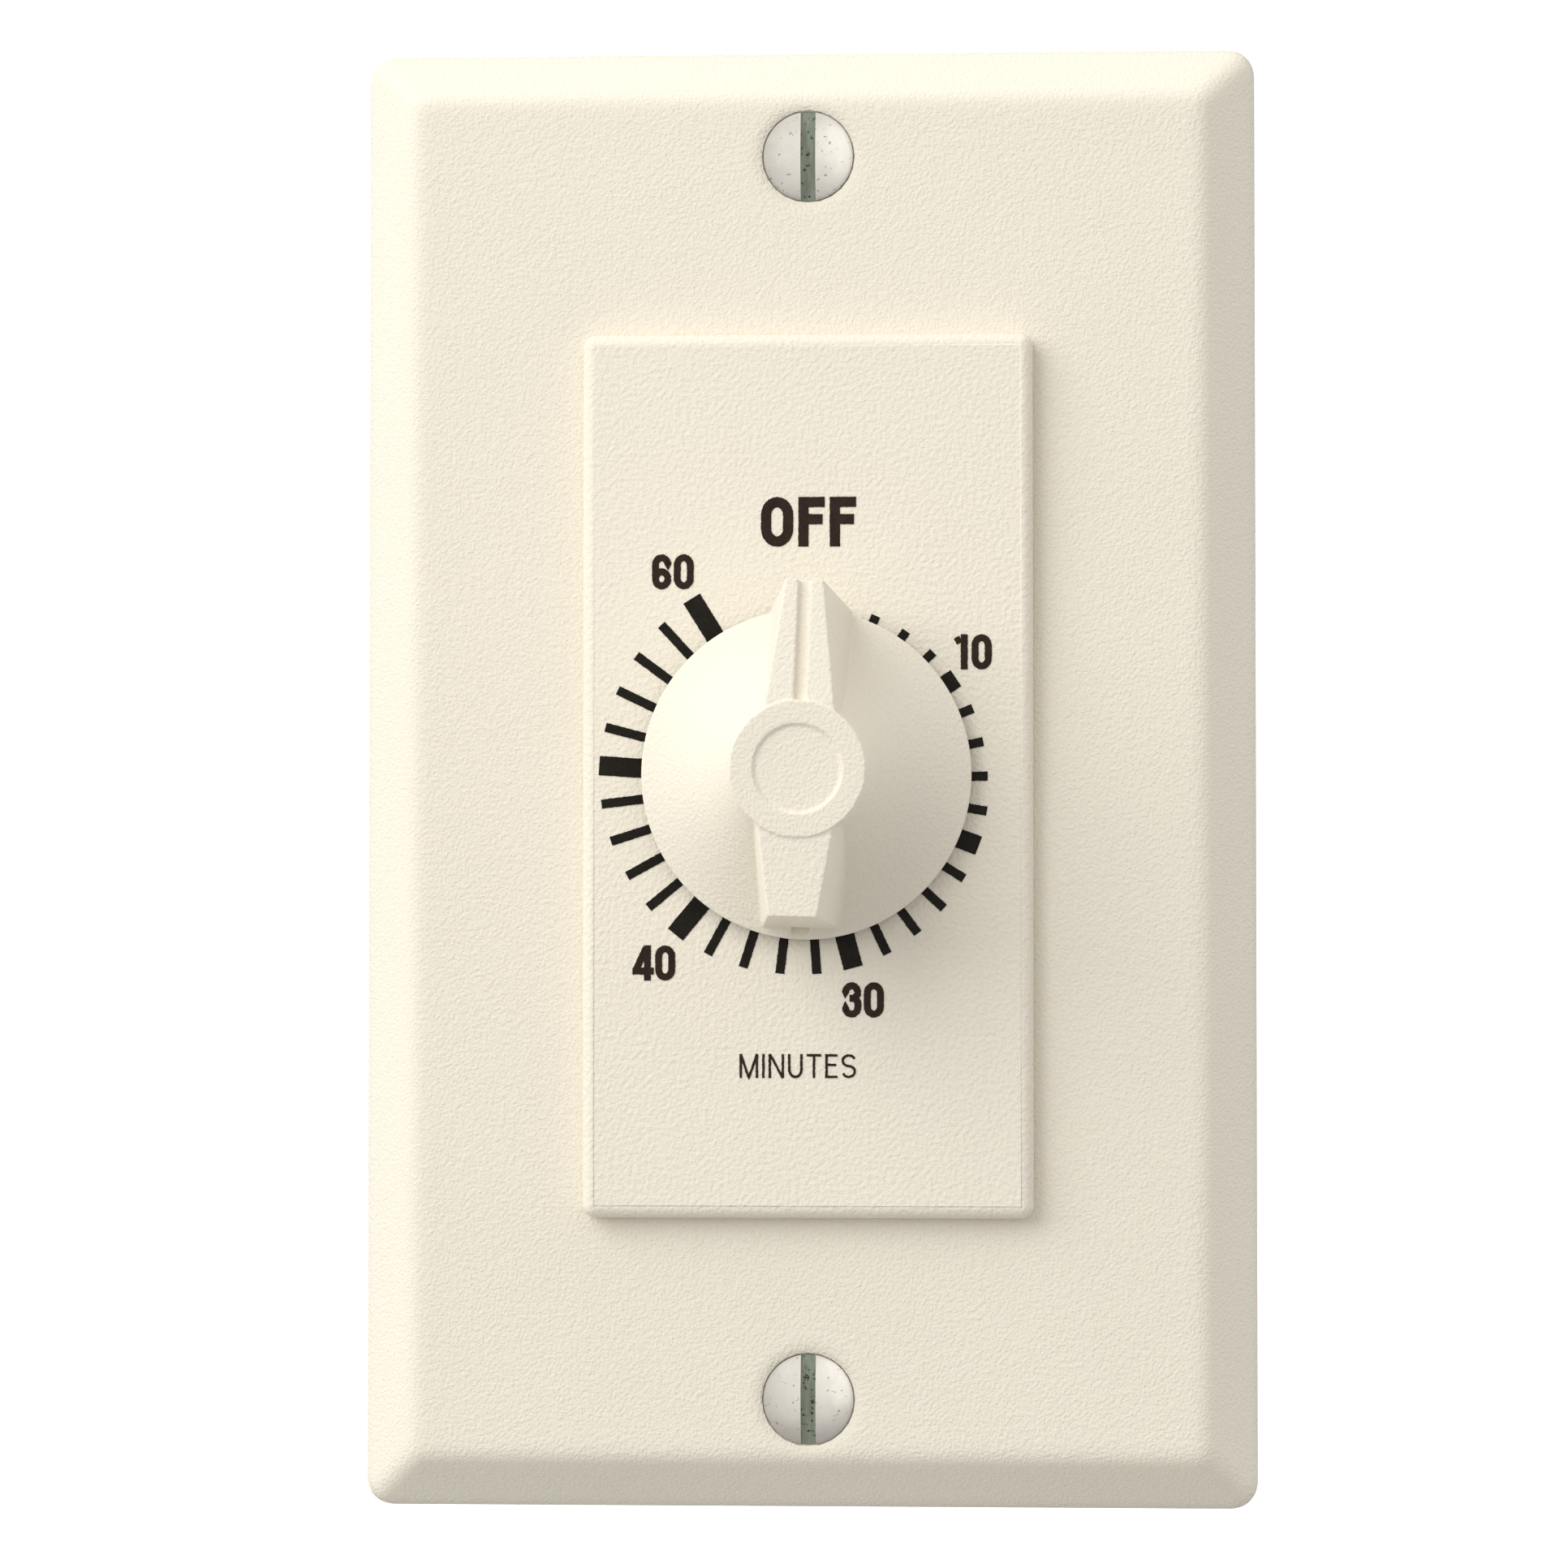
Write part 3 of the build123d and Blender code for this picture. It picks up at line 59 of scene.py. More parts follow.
# Sizes that the CAD model gives, read from its boxes
knob_low, knob_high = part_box("knob")
plate_face = -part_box("wall_plate")[0].y / mm
panel_face = -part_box("dial_plate")[0].y / mm
skirt_bottom = -knob_high.y / mm
cap_top = -knob_low.y / mm
skirt_radius = knob_high.x / mm

# Knob, in millimetres; halves are half widths at the inner and at the outer end
skirt_edge = 0.9
waist_radius = 7.35
waist_height = 5.6
neck_inset = 0.05
cap_radius = 5.1
cap_depth = 1.6
cap_step = 0.14
dish_radius = 3.4
dish_depth = 0.22
finger_start = 3.6
pointer_foot_halves = (3.6, 3.15)
pointer_top_halves = (2.74, 1.42)
pointer_overhang = 1.45
pointer_tip_height = 13.4
groove_width = 0.85
groove_depth = 0.5
tail_foot_halves = (4.29, 2.97)
tail_top_halves = (2.95, 1.81)
tail_foot_reach = 11.9
tail_end_reach = 11.0
tail_end_height = 14.8
recess_width = 1.3
recess_height = 1.1
recess_depth = 0.9
hollow_radius = 11.2
hollow_top_radius = 5.2
hollow_depth = 7.0
overrun = 1

# How the knob's mesh is made, and how far it stands turned, in degrees clockwise
skirt_steps = 40
skirt_sides = 160
round_sides = 96
finger_steps = 12
knob_voxel = 0.1
relax_share = 0.5
relax_rounds = 4
thinning = 0.18
knob_turned = -2

# Rounded edges of the plate and the panel, in millimetres and degrees
plate_edge_radius = 2.0
plate_edge_samples = 8
panel_weld_gap = 0.001
panel_edge_width = 0.3
panel_edge_segments = 3
panel_edge_angle = 30

# Printed dial, in millimetres from the knob's axis, and degrees clockwise from the top
ink_lift = 0.015
ink_thick = 0.03
ink_layer = 0.002
ink_layers = 4
print_step = 0.12
print_jitter = 0.018
miter_limit = 0.6
scale_centre = (-0.27, -0.33)
scale_zero = 2.2
degrees_per_minute = 5.434
minutes_per_major_tick = 10
tick_width = 0.71
major_tick_width = 1.5
tick_inner = 11.9
tick_ends = {
    2: 13.6, 4: 13.84, 6: 13.95, 8: 14.05, 10: 14.15, 12: 14.2, 14: 14.2, 16: 14.25, 18: 14.4, 20: 14.5,
    22: 14.6, 24: 14.75, 26: 14.85, 28: 15.0, 30: 15.1, 32: 15.1, 34: 15.15, 36: 15.3, 38: 15.45, 40: 15.6,
    42: 15.6, 44: 15.6, 46: 15.7, 48: 15.8, 50: 15.9, 52: 15.9, 54: 16.0, 56: 16.15, 58: 16.3, 60: 16.5,
}

# Printed words: text, lower left corner, height, stroke width and gap between letters
words = {
    "off": ("OFF", (-3.57, 17.71), 3.86, 0.8, 0.39),
    "sixty": ("60", (-12.04, 14.42), 2.73, 0.54, 0.19),
    "ten": ("10", (11.49, 8.14), 2.73, 0.54, 0.3),
    "forty": ("40", (-13.54, -15.92), 2.73, 0.54, 0.1),
    "thirty": ("30", (2.7, -18.77), 2.73, 0.54, 0.19),
    "minutes": ("MINUTES", (-5.23, -23.44), 1.85, 0.19, 0.31),
}

# Letter shapes: widths and levels as shares of the height, and arms as shares of the width
letter_widths = {
    "O": 0.65, "F": 0.53, "0": 0.57, "1": 0.35, "3": 0.55, "4": 0.61, "6": 0.55,
    "M": 0.78, "I": 0.1, "N": 0.65, "U": 0.61, "T": 0.61, "E": 0.51, "S": 0.61,
}
curve_steps = 12
waist_level = 0.55
e_arm = 0.9
f_arm = 0.92
one_flag_low = 0.79
one_flag_high = 0.87
three_upper_end = 0.73
three_lower_end = 0.27
four_bar_level = 0.27
four_stem = 0.7
six_loop_level = 0.6
six_hook_end = 0.72

# Letter shapes: a bow's height to its half width, and corners as shares of the stroke's width
bow_rise = 1.15
three_bow_rise = 0.75
three_nose = 0.3
four_foot_in = 0.45
four_tip_in = 0.2
four_tip_down = 0.35
s_upper_turn = (20, 270)
s_lower_turn = (90, -160)

# Plate screws, in millimetres and degrees
screw_spacing = 96.84
seat_gap = 0.01
head_radius = 3.5
head_dome = 0.8
head_rim = 0.15
head_steps = 14
head_edge = 0.07
head_edge_segments = 2
head_edge_angle = 40
screw_sides = 72
screw_slot_width = 1.15
screw_slot_depth = 0.95
countersink_depth = 2.0
neck_radius = 1.5
neck_taper = 0.3
screw_length = 12.7
screw_end_share = 0.7
thread_radius = 1.75
thread_root = 1.42
thread_pitch = 0.79
thread_crest = (0.45, 0.55)
thread_start = 0.6
thread_stop = 1
# Painted shade in the screw slots and on the heads' edges: how far it reaches past the slot and in from the
# edge, in millimetres, and the tilt below which an edge face gets it
shade_reach = 0.01
shade_rim = 0.05
shade_tilt = 0.6
screws_face = plate_face - seat_gap

# Backdrop, in metres
sweep_half_width = 1.6
sweep_front = -1.6
sweep_back = 0.7
sweep_floor = -0.2
sweep_top = 1.6
sweep_bend = 0.35
sweep_steps = 16
sweep_glow = 0.35

# Lamps: place, size, power and colour, in metres and watts
key_lamp = ("key", (-0.70, -0.66, 0.54), (1.0, 1.0), 9.2, (1.0, 0.99, 0.96))
reflected_cards = (
    ("front_card", (0, -1.2, 0.1), (2.2, 2.0), 3.5, (1.0, 1.0, 1.0)),
    ("right_card", (0.77, -0.92, 0.35), (0.7, 1.4), 1.3, (1.0, 1.0, 1.0)),
)

# Light from all round: brightest towards sky_direction, and brighter from behind the wall plane
sky_colour = (1, 0.995, 0.98, 1)
sky_direction = (-0.1, -0.35, 0.9)
sky_strengths = (0.25, 0.83)
behind_from = -0.2
behind_to = 0.05
behind_strength = 0.5

# Camera, in millimetres from the knob's axis on the wall plane
camera_distance = 390
camera_right = 17.7
camera_down = 11.6
camera_aim = (-2.18, -0.48)
view_width = 123.7
sensor_width = 36.0
camera_near = 0.01
camera_far = 20


# Meshes

def spot(x, y, out):
    """A point in millimetres, right, up and out of the wall, as a vector in the row frame."""
    return Vector((x, -out, y)) * mm


def link(name, data):
    """A new object in the scene."""
    made = bpy.data.objects.new(name, data)
    bpy.context.scene.collection.objects.link(made)
    return made


def shape(name, points, faces):
    """A mesh object whose faces all look outwards."""
    mesh = bpy.data.meshes.new(name)
    mesh.from_pydata(points, [], faces)
    made = bmesh.new()
    made.from_mesh(mesh)
    bmesh.ops.recalc_face_normals(made, faces=made.faces)
    made.to_mesh(mesh)
    made.free()
    return link(name, mesh)


def turned(name, profile, centre=(0, 0), sides=round_sides):
    """A closed turned solid about an axis out of the wall; profile is (radius, out) from axis to axis."""
    points = []
    rings = []
    for radius, out in profile:
        if radius == 0:
            rings.append([len(points)])
            points.append(spot(centre[0], centre[1], out))
            continue
        rings.append(list(range(len(points), len(points) + sides)))
        for side in range(sides):
            angle = math.tau * side / sides
            x = centre[0] + radius * math.cos(angle)
            y = centre[1] + radius * math.sin(angle)
            points.append(spot(x, y, out))
    faces = []
    for ring, after in zip(rings, rings[1:]):
        for side in range(sides):
            following = (side + 1) % sides
            corners = [ring[side % len(ring)], ring[following % len(ring)]]
            corners += [after[following % len(after)], after[side % len(after)]]
            faces.append(list(dict.fromkeys(corners)))
    return shape(name, points, faces)


def grid_between(foot, top, steps):
    """Points of the walls between two four-cornered outlines, which may twist, and their faces."""
    points = []
    for level in range(steps + 1):
        for corner in range(4):
            for run in range(steps):
                low = foot[corner].lerp(foot[(corner + 1) % 4], run / steps)
                high = top[corner].lerp(top[(corner + 1) % 4], run / steps)
                points.append(low.lerp(high, level / steps))
    faces = []
    ring = 4 * steps
    for level in range(steps):
        base = level * ring
        for at in range(ring):
            after = (at + 1) % ring
            faces.append([base + at, base + after, base + ring + after, base + ring + at])
    faces.append(list(range(ring)))
    faces.append([steps * ring + at for at in range(ring)])
    return points, faces


def six_sided(name, low_corners, high_corners):
    """A solid with four corners at its low end and four at its high end, in the same order."""
    sides = [[0, 1, 2, 3], [4, 5, 6, 7], [0, 1, 5, 4], [1, 2, 6, 5], [2, 3, 7, 6], [3, 0, 4, 7]]
    return shape(name, [*low_corners, *high_corners], sides)


def block(name, low, high):
    """An upright block between two corners, each given right, up and out."""
    ends = []
    for out in (low[2], high[2]):
        corners = ((low[0], low[1]), (high[0], low[1]), (high[0], high[1]), (low[0], high[1]))
        ends.append([spot(x, y, out) for x, y in corners])
    return six_sided(name, *ends)


def settle(piece):
    """Applies the piece's modifiers."""
    bpy.context.view_layer.update()
    graph = bpy.context.evaluated_depsgraph_get()
    mesh = bpy.data.meshes.new_from_object(piece.evaluated_get(graph), depsgraph=graph)
    piece.modifiers.clear()
    piece.data = mesh


def combine(piece, others, how):
    """Joins the others to the piece or cuts them from it, and uses them up."""
    for other in others:
        step = piece.modifiers.new("combine", "BOOLEAN")
        step.operation = how
        step.solver = "EXACT"
        step.object = other
        settle(piece)
        bpy.data.objects.remove(other)


def smooth(piece):
    """Shades the piece's faces as one rounded surface."""
    for face in piece.data.polygons:
        face.use_smooth = True
    return piece


def bevel(piece, width, segments, angle):
    """Adds a rounding of the edges that are sharper than an angle in degrees."""
    edge = piece.modifiers.new("edge", "BEVEL")
    edge.width = width * mm
    edge.segments = segments
    edge.limit_method = "ANGLE"
    edge.angle_limit = math.radians(angle)
    return edge


# Materials

def nodes_of(material):
    """The material's node tree and its shader."""
    tree = material.node_tree
    shader = next(node for node in tree.nodes if node.type == "BSDF_PRINCIPLED")
    return tree, shader


def link_nodes(tree, *pairs):
    """Joins each output to its input."""
    for start, end in pairs:
        tree.links.new(start, end)


def noise(tree, scale, detail, rough, stretch=(1, 1, 1)):
    """Cloudy noise fixed to the object, its scale in features per metre."""
    place = tree.nodes.new("ShaderNodeTexCoord")
    mapping = tree.nodes.new("ShaderNodeMapping")
    mapping.inputs["Scale"].default_value = stretch
    texture = tree.nodes.new("ShaderNodeTexNoise")
    texture.inputs["Scale"].default_value = scale
    texture.inputs["Detail"].default_value = detail
    texture.inputs["Roughness"].default_value = rough
    link_nodes(
        tree,
        (place.outputs["Object"], mapping.inputs["Vector"]),
        (mapping.outputs["Vector"], texture.inputs["Vector"]),
    )
    return texture.outputs["Fac"]


def ramp(tree, factor, stops):
    """Colours along a factor, from (place, colour) stops."""
    node = tree.nodes.new("ShaderNodeValToRGB")
    while len(node.color_ramp.elements) < len(stops):
        node.color_ramp.elements.new(1.0)
    for element, (at, colour) in zip(node.color_ramp.elements, stops):
        element.position = at
        element.color = (*colour, 1)
    link_nodes(tree, (factor, node.inputs["Fac"]))
    return node.outputs["Color"]


def tones(tree, factor, low, high):
    """A soft change between two colours over the middle of a noise's range."""
    return ramp(tree, factor, [(0.3, low), (0.7, high)])


def grey(amount):
    """A colour with no tint."""
    return (amount, amount, amount)


def shade(colour, amount):
    """A colour made darker or lighter."""
    return tuple(channel * amount for channel in colour)


def mixed(tree, factor, first, second, how="MIX"):
    """A blend of two colours; each value is an output, a colour or a number."""
    node = tree.nodes.new("ShaderNodeMix")
    node.data_type = "RGBA"
    node.blend_type = how
    for socket, value in ((node.inputs[0], factor), (node.inputs[6], first), (node.inputs[7], second)):
        if isinstance(value, bpy.types.NodeSocket):
            link_nodes(tree, (value, socket))
        elif isinstance(value, tuple):
            socket.default_value = (*value, 1)
        else:
            socket.default_value = value
    return node.outputs[2]


def finish_of(
    name, colour, roughness, metallic=0.0, specular=0.5,
    spread=0.05, cloud=60, mottle=0, specks=None, speck_scale=900, speck_start=0.72,
    grain=2500, grain_depth=0.02, grain_share=0.3, stretch=(1, 1, 1), edge=0,
):
    """A material with clouded colour, uneven gloss and a fine relief.

    spread is how far the clouds change the colour and mottle how dark the grain's dots are. specks is
    the colour of small flecks, and speck_start how rare they are. edge rounds the creases in shading.
    """
    gloss_spread = 0.12
    speck_softness = 0.06
    material = bpy.data.materials.new(name)
    material.use_nodes = True
    tree, shader = nodes_of(material)
    clouds = noise(tree, cloud, 4.0, 0.6, stretch)
    tint = tones(tree, clouds, shade(colour, 1 - spread), shade(colour, 1 + spread))
    if mottle:
        dots = tones(tree, noise(tree, grain, 2.0, 0.6, stretch), grey(1 - mottle), grey(1))
        tint = mixed(tree, 1.0, tint, dots, "MULTIPLY")
    if specks:
        stops = [(0.0, grey(0)), (speck_start, grey(0)), (speck_start + speck_softness, grey(1))]
        tint = mixed(tree, ramp(tree, noise(tree, speck_scale, 2.0, 0.5), stops), tint, specks)
    dull = min(1, roughness * (1 + gloss_spread))
    uneven = noise(tree, cloud * 5, 3.0, 0.6, stretch)
    gloss = tones(tree, uneven, grey(roughness * (1 - gloss_spread)), grey(dull))
    shader.inputs["Metallic"].default_value = metallic
    shader.inputs["Specular IOR Level"].default_value = specular
    relief = tree.nodes.new("ShaderNodeBump")
    relief.inputs["Strength"].default_value = grain_share
    relief.inputs["Distance"].default_value = grain_depth * mm
    if edge:
        rounded = tree.nodes.new("ShaderNodeBevel")
        rounded.samples = plate_edge_samples
        rounded.inputs["Radius"].default_value = edge * mm
        link_nodes(tree, (rounded.outputs["Normal"], relief.inputs["Normal"]))
    link_nodes(
        tree,
        (tint, shader.inputs["Base Color"]),
        (gloss, shader.inputs["Roughness"]),
        (noise(tree, grain, 2.0, 0.5, stretch), relief.inputs["Height"]),
        (relief.outputs["Normal"], shader.inputs["Normal"]),
    )
    return material


ivory = (0.89, 0.83, 0.71)
finishes = {
    "plate": finish_of(
        "plate_moulding", ivory, 0.5, spread=0.01, mottle=0.04,
        grain=4200, grain_depth=0.18, grain_share=0.6, edge=plate_edge_radius,
    ),
    "panel": finish_of(
        "panel_moulding", ivory, 0.55, spread=0.01, mottle=0.035,
        grain=2700, grain_depth=0.17, grain_share=0.7,
    ),
    "knob": finish_of(
        "knob_moulding", ivory, 0.5, spread=0.008, mottle=0.035,
        grain=3600, grain_depth=0.14, grain_share=0.7,
    ),
    "ink": finish_of(
        "dial_ink", (0.011, 0.009, 0.006), 0.7, specular=0.2, spread=0.35, cloud=900,
        specks=(0.05, 0.04, 0.025), speck_scale=5000, grain=4000, grain_depth=0.01,
    ),
    "word_ink": finish_of(
        "word_ink", (0.026, 0.015, 0.01), 0.7, specular=0.2, spread=0.3, cloud=900,
        specks=(0.07, 0.045, 0.03), speck_scale=6000, grain=4000, grain_depth=0.01,
    ),
    "zinc_screws": finish_of(
        "zinc_screws", (0.6, 0.6, 0.57), 0.38, 1.0, spread=0.08, cloud=500,
        specks=(0.3, 0.27, 0.2), speck_scale=1400, grain=3000, grain_depth=0.015,
    ),
    "bright_zinc": finish_of(
        "bright_zinc", (0.85, 0.81, 0.735), 0.36, 1.0, spread=0.05, cloud=700,
        specks=(0.42, 0.38, 0.32), speck_scale=3200, speck_start=0.66, grain=4000, grain_depth=0.02,
    ),
    # Painted shade: a dark metal finish laid on the screw slots and the heads' edges, where shade falls
    "slot_painted_shade": finish_of(
        "slot_painted_shade", (0.25, 0.28, 0.225), 0.5, 0.5, spread=0.25, cloud=900,
        specks=(0.03, 0.03, 0.025), speck_scale=3200, speck_start=0.62,
        grain=4000, grain_depth=0.03, stretch=(3, 1, 0.5),
    ),
    "zinc_steel": finish_of(
        "zinc_steel", (0.56, 0.57, 0.56), 0.4, 1.0, spread=0.12, cloud=140,
        specks=(0.42, 0.44, 0.47), speck_scale=260, grain=900, grain_depth=0.02,
    ),
    "turned_steel": finish_of(
        "turned_steel", (0.5, 0.5, 0.49), 0.3, 1.0, spread=0.06, cloud=300,
        grain=2500, grain_depth=0.01, stretch=(1, 6, 1),
    ),
    "spring_steel": finish_of(
        "blued_spring", (0.2, 0.22, 0.28), 0.33, 1.0, spread=0.2, cloud=200,
        grain=2500, grain_depth=0.01,
    ),
    "brass": finish_of(
        "brass", (0.78, 0.57, 0.25), 0.34, 1.0, spread=0.1, cloud=160,
        specks=(0.5, 0.33, 0.14), speck_scale=500, grain=2200, grain_depth=0.012,
    ),
    "fibre": finish_of(
        "fibre", (0.2, 0.095, 0.05), 0.75, spread=0.18, cloud=400,
        specks=(0.3, 0.17, 0.09), speck_scale=2200, grain=1500, grain_depth=0.05, stretch=(1, 1, 4),
    ),
    "green_screw": finish_of(
        "green_screw", (0.02, 0.2, 0.06), 0.35, 0.3, spread=0.12, cloud=400,
        specks=(0.35, 0.36, 0.34), speck_scale=1500, grain=2500, grain_depth=0.015,
    ),
    "dark_moulding": finish_of(
        "dark_phenolic", (0.022, 0.02, 0.019), 0.45, spread=0.2, cloud=120,
        specks=(0.06, 0.055, 0.05), speck_scale=2600, grain=1800, grain_depth=0.03,
    ),
    "cream_moulding": finish_of(
        "cream_moulding", (0.62, 0.57, 0.46), 0.5, spread=0.06, cloud=200,
        grain=1800, grain_depth=0.02,
    ),
    "silver_contact": finish_of(
        "silver_contact", (0.82, 0.81, 0.78), 0.25, 1.0, spread=0.08, cloud=600,
        specks=(0.45, 0.42, 0.38), speck_scale=2000, grain=3000, grain_depth=0.008,
    ),
}
finish_of_node = {"wall_plate": "plate", "dial_plate": "panel", "knob": "knob"}


def add(piece, body, finish):
    """Gives a new piece its material and the body that it rides on."""
    piece.data.materials.clear()
    piece.data.materials.append(finishes[finish])
    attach(piece, body)


# Looks of the CAD nodes
for part in frame["record"]["subparts"]:
    look = finishes[finish_of_node.get(part["node"], part["material_slot"])]
    for place in frame["nodes"][part["node"]].material_slots:
        place.link = "OBJECT"
        place.material = look

panel = frame["nodes"]["dial_plate"]
weld = panel.modifiers.new("weld", "WELD")
weld.merge_threshold = panel_weld_gap * mm
bevel(panel, panel_edge_width, panel_edge_segments, panel_edge_angle).harden_normals = True


# Knob: a moulded shell with a raised pointer and tail

def slope_level(reach, end_reach, end_height):
    """How far out the top of the pointer or tail is, on its slope from the cap to its end."""
    root = cap_top - cap_step
    return root + (skirt_bottom + end_height - root) * (reach - cap_radius) / (end_reach - cap_radius)


def finger(name, foot_halves, top_halves, foot_reach, end_reach, end_height, direction):
    """The pointer, direction 1, or the tail, direction -1: a tapered ridge that widens to its foot."""
    low = skirt_bottom + skirt_edge / 2
    start_level = slope_level(finger_start, end_reach, end_height)
    end_level = slope_level(end_reach, end_reach, end_height)
    start = direction * finger_start
    foot = [
        spot(-foot_halves[0], start, low),
        spot(foot_halves[0], start, low),
        spot(foot_halves[1], direction * foot_reach, low),
        spot(-foot_halves[1], direction * foot_reach, low),
    ]
    top = [
        spot(-top_halves[0], start, start_level),
        spot(top_halves[0], start, start_level),
        spot(top_halves[1], direction * end_reach, end_level),
        spot(-top_halves[1], direction * end_reach, end_level),
    ]
    return shape(name, *grid_between(foot, top, finger_steps))


def middle_line(first, second):
    """The middle between two points, and the direction square to the line between them."""
    return (first + second) / 2, Vector((second.y - first.y, first.x - second.x))


def skirt_profile():
    """The hollow curve of the skirt, through its rim, waist and neck, as an arc of one circle."""
    rim = Vector((skirt_radius, skirt_bottom + skirt_edge))
    waist = Vector((waist_radius, skirt_bottom + waist_height))
    neck = Vector((cap_radius - neck_inset, cap_top - cap_depth))
    one, along = middle_line(rim, waist)
    two, other = middle_line(waist, neck)
    gap = two - one
    cross = along.x * -other.y + along.y * other.x
    share = (gap.x * -other.y + gap.y * other.x) / cross
    centre = one + along * share
    radius = (rim - centre).length
    start = math.atan2(rim.y - centre.y, rim.x - centre.x)
    end = math.atan2(neck.y - centre.y, neck.x - centre.x)
    if end > start:
        end -= math.tau
    arc = [start + (end - start) * step / skirt_steps for step in range(skirt_steps + 1)]
    return [(centre.x + radius * math.cos(angle), centre.y + radius * math.sin(angle)) for angle in arc]


def knob_fingers(pointer_reach):
    """The pointer and the tail, both cut level just below the cap's top."""
    fingers = [
        finger(
            "pointer", pointer_foot_halves, pointer_top_halves, skirt_radius, pointer_reach,
            pointer_tip_height, 1,
        ),
        finger(
            "tail", tail_foot_halves, tail_top_halves, tail_foot_reach, tail_end_reach,
            tail_end_height, -1,
        ),
    ]
    far = 2 * skirt_radius
    for piece in fingers:
        above = block("above", (-far, -far, cap_top - cap_step), (far, far, cap_top + far))
        combine(piece, [above], "DIFFERENCE")
    return fingers


def groove_cut(pointer_reach):
    """The groove along the pointer's top, of even depth."""
    outer = pointer_reach + overrun
    ends = []
    for x in (-groove_width / 2, groove_width / 2):
        corners = [
            (cap_radius, slope_level(cap_radius, pointer_reach, pointer_tip_height) - groove_depth),
            (outer, slope_level(outer, pointer_reach, pointer_tip_height) - groove_depth),
            (outer, cap_top + overrun),
            (cap_radius, cap_top + overrun),
        ]
        ends.append([spot(x, at, level) for at, level in corners])
    return six_sided("groove", *ends)


def recess_cut():
    """The small pocket in the skirt's rim, under the tail's end."""
    middle = skirt_bottom + skirt_edge + recess_height / 2
    low = (-recess_width / 2, -tail_foot_reach - recess_depth, middle - recess_height / 2)
    high = (recess_width / 2, -tail_foot_reach + recess_depth, middle + recess_height / 2)
    return block("recess", low, high)


def knob_piece():
    """The whole knob, its corners softened by an even remesh."""
    neck_level = cap_top - cap_depth
    cap_foot = cap_top - 2 * cap_depth
    hollow_top = skirt_bottom + hollow_depth
    profile = [(0, skirt_bottom), (skirt_radius, skirt_bottom), *skirt_profile(), (0, neck_level)]
    body = turned("timer_knob", profile, sides=skirt_sides)
    cap = turned("cap", [
        (0, cap_foot), (cap_radius, cap_foot), (cap_radius, cap_top), (dish_radius, cap_top),
        (dish_radius - dish_depth, cap_top - dish_depth), (0, cap_top - dish_depth),
    ])
    hollow = turned("hollow", [
        (0, skirt_bottom - overrun), (hollow_radius, skirt_bottom - overrun), (hollow_radius, skirt_bottom),
        (hollow_top_radius, hollow_top), (0, hollow_top),
    ])
    pointer_reach = skirt_radius + pointer_overhang
    combine(body, [*knob_fingers(pointer_reach), cap], "UNION")
    combine(body, [groove_cut(pointer_reach), recess_cut(), hollow], "DIFFERENCE")
    even = body.modifiers.new("even", "REMESH")
    even.mode = "VOXEL"
    even.voxel_size = knob_voxel * mm
    relax = body.modifiers.new("relax", "SMOOTH")
    relax.factor = relax_share
    relax.iterations = relax_rounds
    thin = body.modifiers.new("thin", "DECIMATE")
    thin.ratio = thinning
    settle(body)
    body.data.transform(Matrix.Rotation(math.radians(-knob_turned), 4, "Y"))
    return smooth(body)


knob_shell = knob_piece()
add(knob_shell, "knob", "knob")
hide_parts("knob")


# Plate screws

def head_profile():
    """The screw head's dome, from its edge to the axis."""
    sphere = (head_radius ** 2 + head_dome ** 2) / (2 * head_dome)
    centre = screws_face + head_dome - sphere
    dome = []
    for step in range(head_steps + 1):
        radius = head_radius * (1 - step / head_steps)
        dome.append((radius, centre + math.sqrt(sphere ** 2 - radius ** 2)))
    return dome


def shank_profile(end, top):
    """The screw's end, its rolled thread and the neck above it."""
    start = end + thread_start
    count = int((top - thread_stop - start) / thread_pitch)
    profile = [(0, end), (thread_root * screw_end_share, end)]
    for turn in range(count):
        low = start + turn * thread_pitch
        profile.append((thread_root, low))
        profile += [(thread_radius, low + thread_pitch * share) for share in thread_crest]
    profile.append((thread_root, start + count * thread_pitch))
    profile += [(neck_radius, top - neck_taper), (neck_radius, top)]
    return profile


def plate_screw(name, height):
    """An oval-head slotted screw with a rolled thread, its slot upright."""
    seat = screws_face - head_rim
    shank = shank_profile(screws_face - screw_length, seat - countersink_depth)
    screw = turned(name, [*shank, (head_radius, seat), *head_profile()], (0, height), screw_sides)
    slot = block(
        "slot",
        (-screw_slot_width / 2, height - head_radius - overrun, screws_face + head_dome - screw_slot_depth),
        (screw_slot_width / 2, height + head_radius + overrun, screws_face + head_dome + overrun),
    )
    combine(screw, [slot], "DIFFERENCE")
    bevel(screw, head_edge, head_edge_segments, head_edge_angle)
    settle(screw)
    return smooth(screw)


def paint_slot_shade(screw, height):
    """Paints shade on the slot's floor and walls and on the edge of the head, as a darker metal finish
    there.
    """
    screw.data.materials.append(finishes["slot_painted_shade"])
    for face in screw.data.polygons:
        x = face.center.x / mm
        y = face.center.z / mm - height
        below_dome = -face.center.y / mm < screws_face + head_dome / 2
        in_slot = abs(x) < screw_slot_width / 2 + shade_reach and below_dome
        at_edge = math.hypot(x, y) > head_radius - shade_rim and abs(face.normal.y) < shade_tilt
        if in_slot or at_edge:
            face.material_index = 1


for name, height in (("upper_plate_screw", screw_spacing / 2), ("lower_plate_screw", -screw_spacing / 2)):
    screw = plate_screw(name, height)
    add(screw, "frame", "bright_zinc")
    # Painted shade in the slot and on the head's edge
    paint_slot_shade(screw, height)
    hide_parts("plate_screws")


# Printed dial

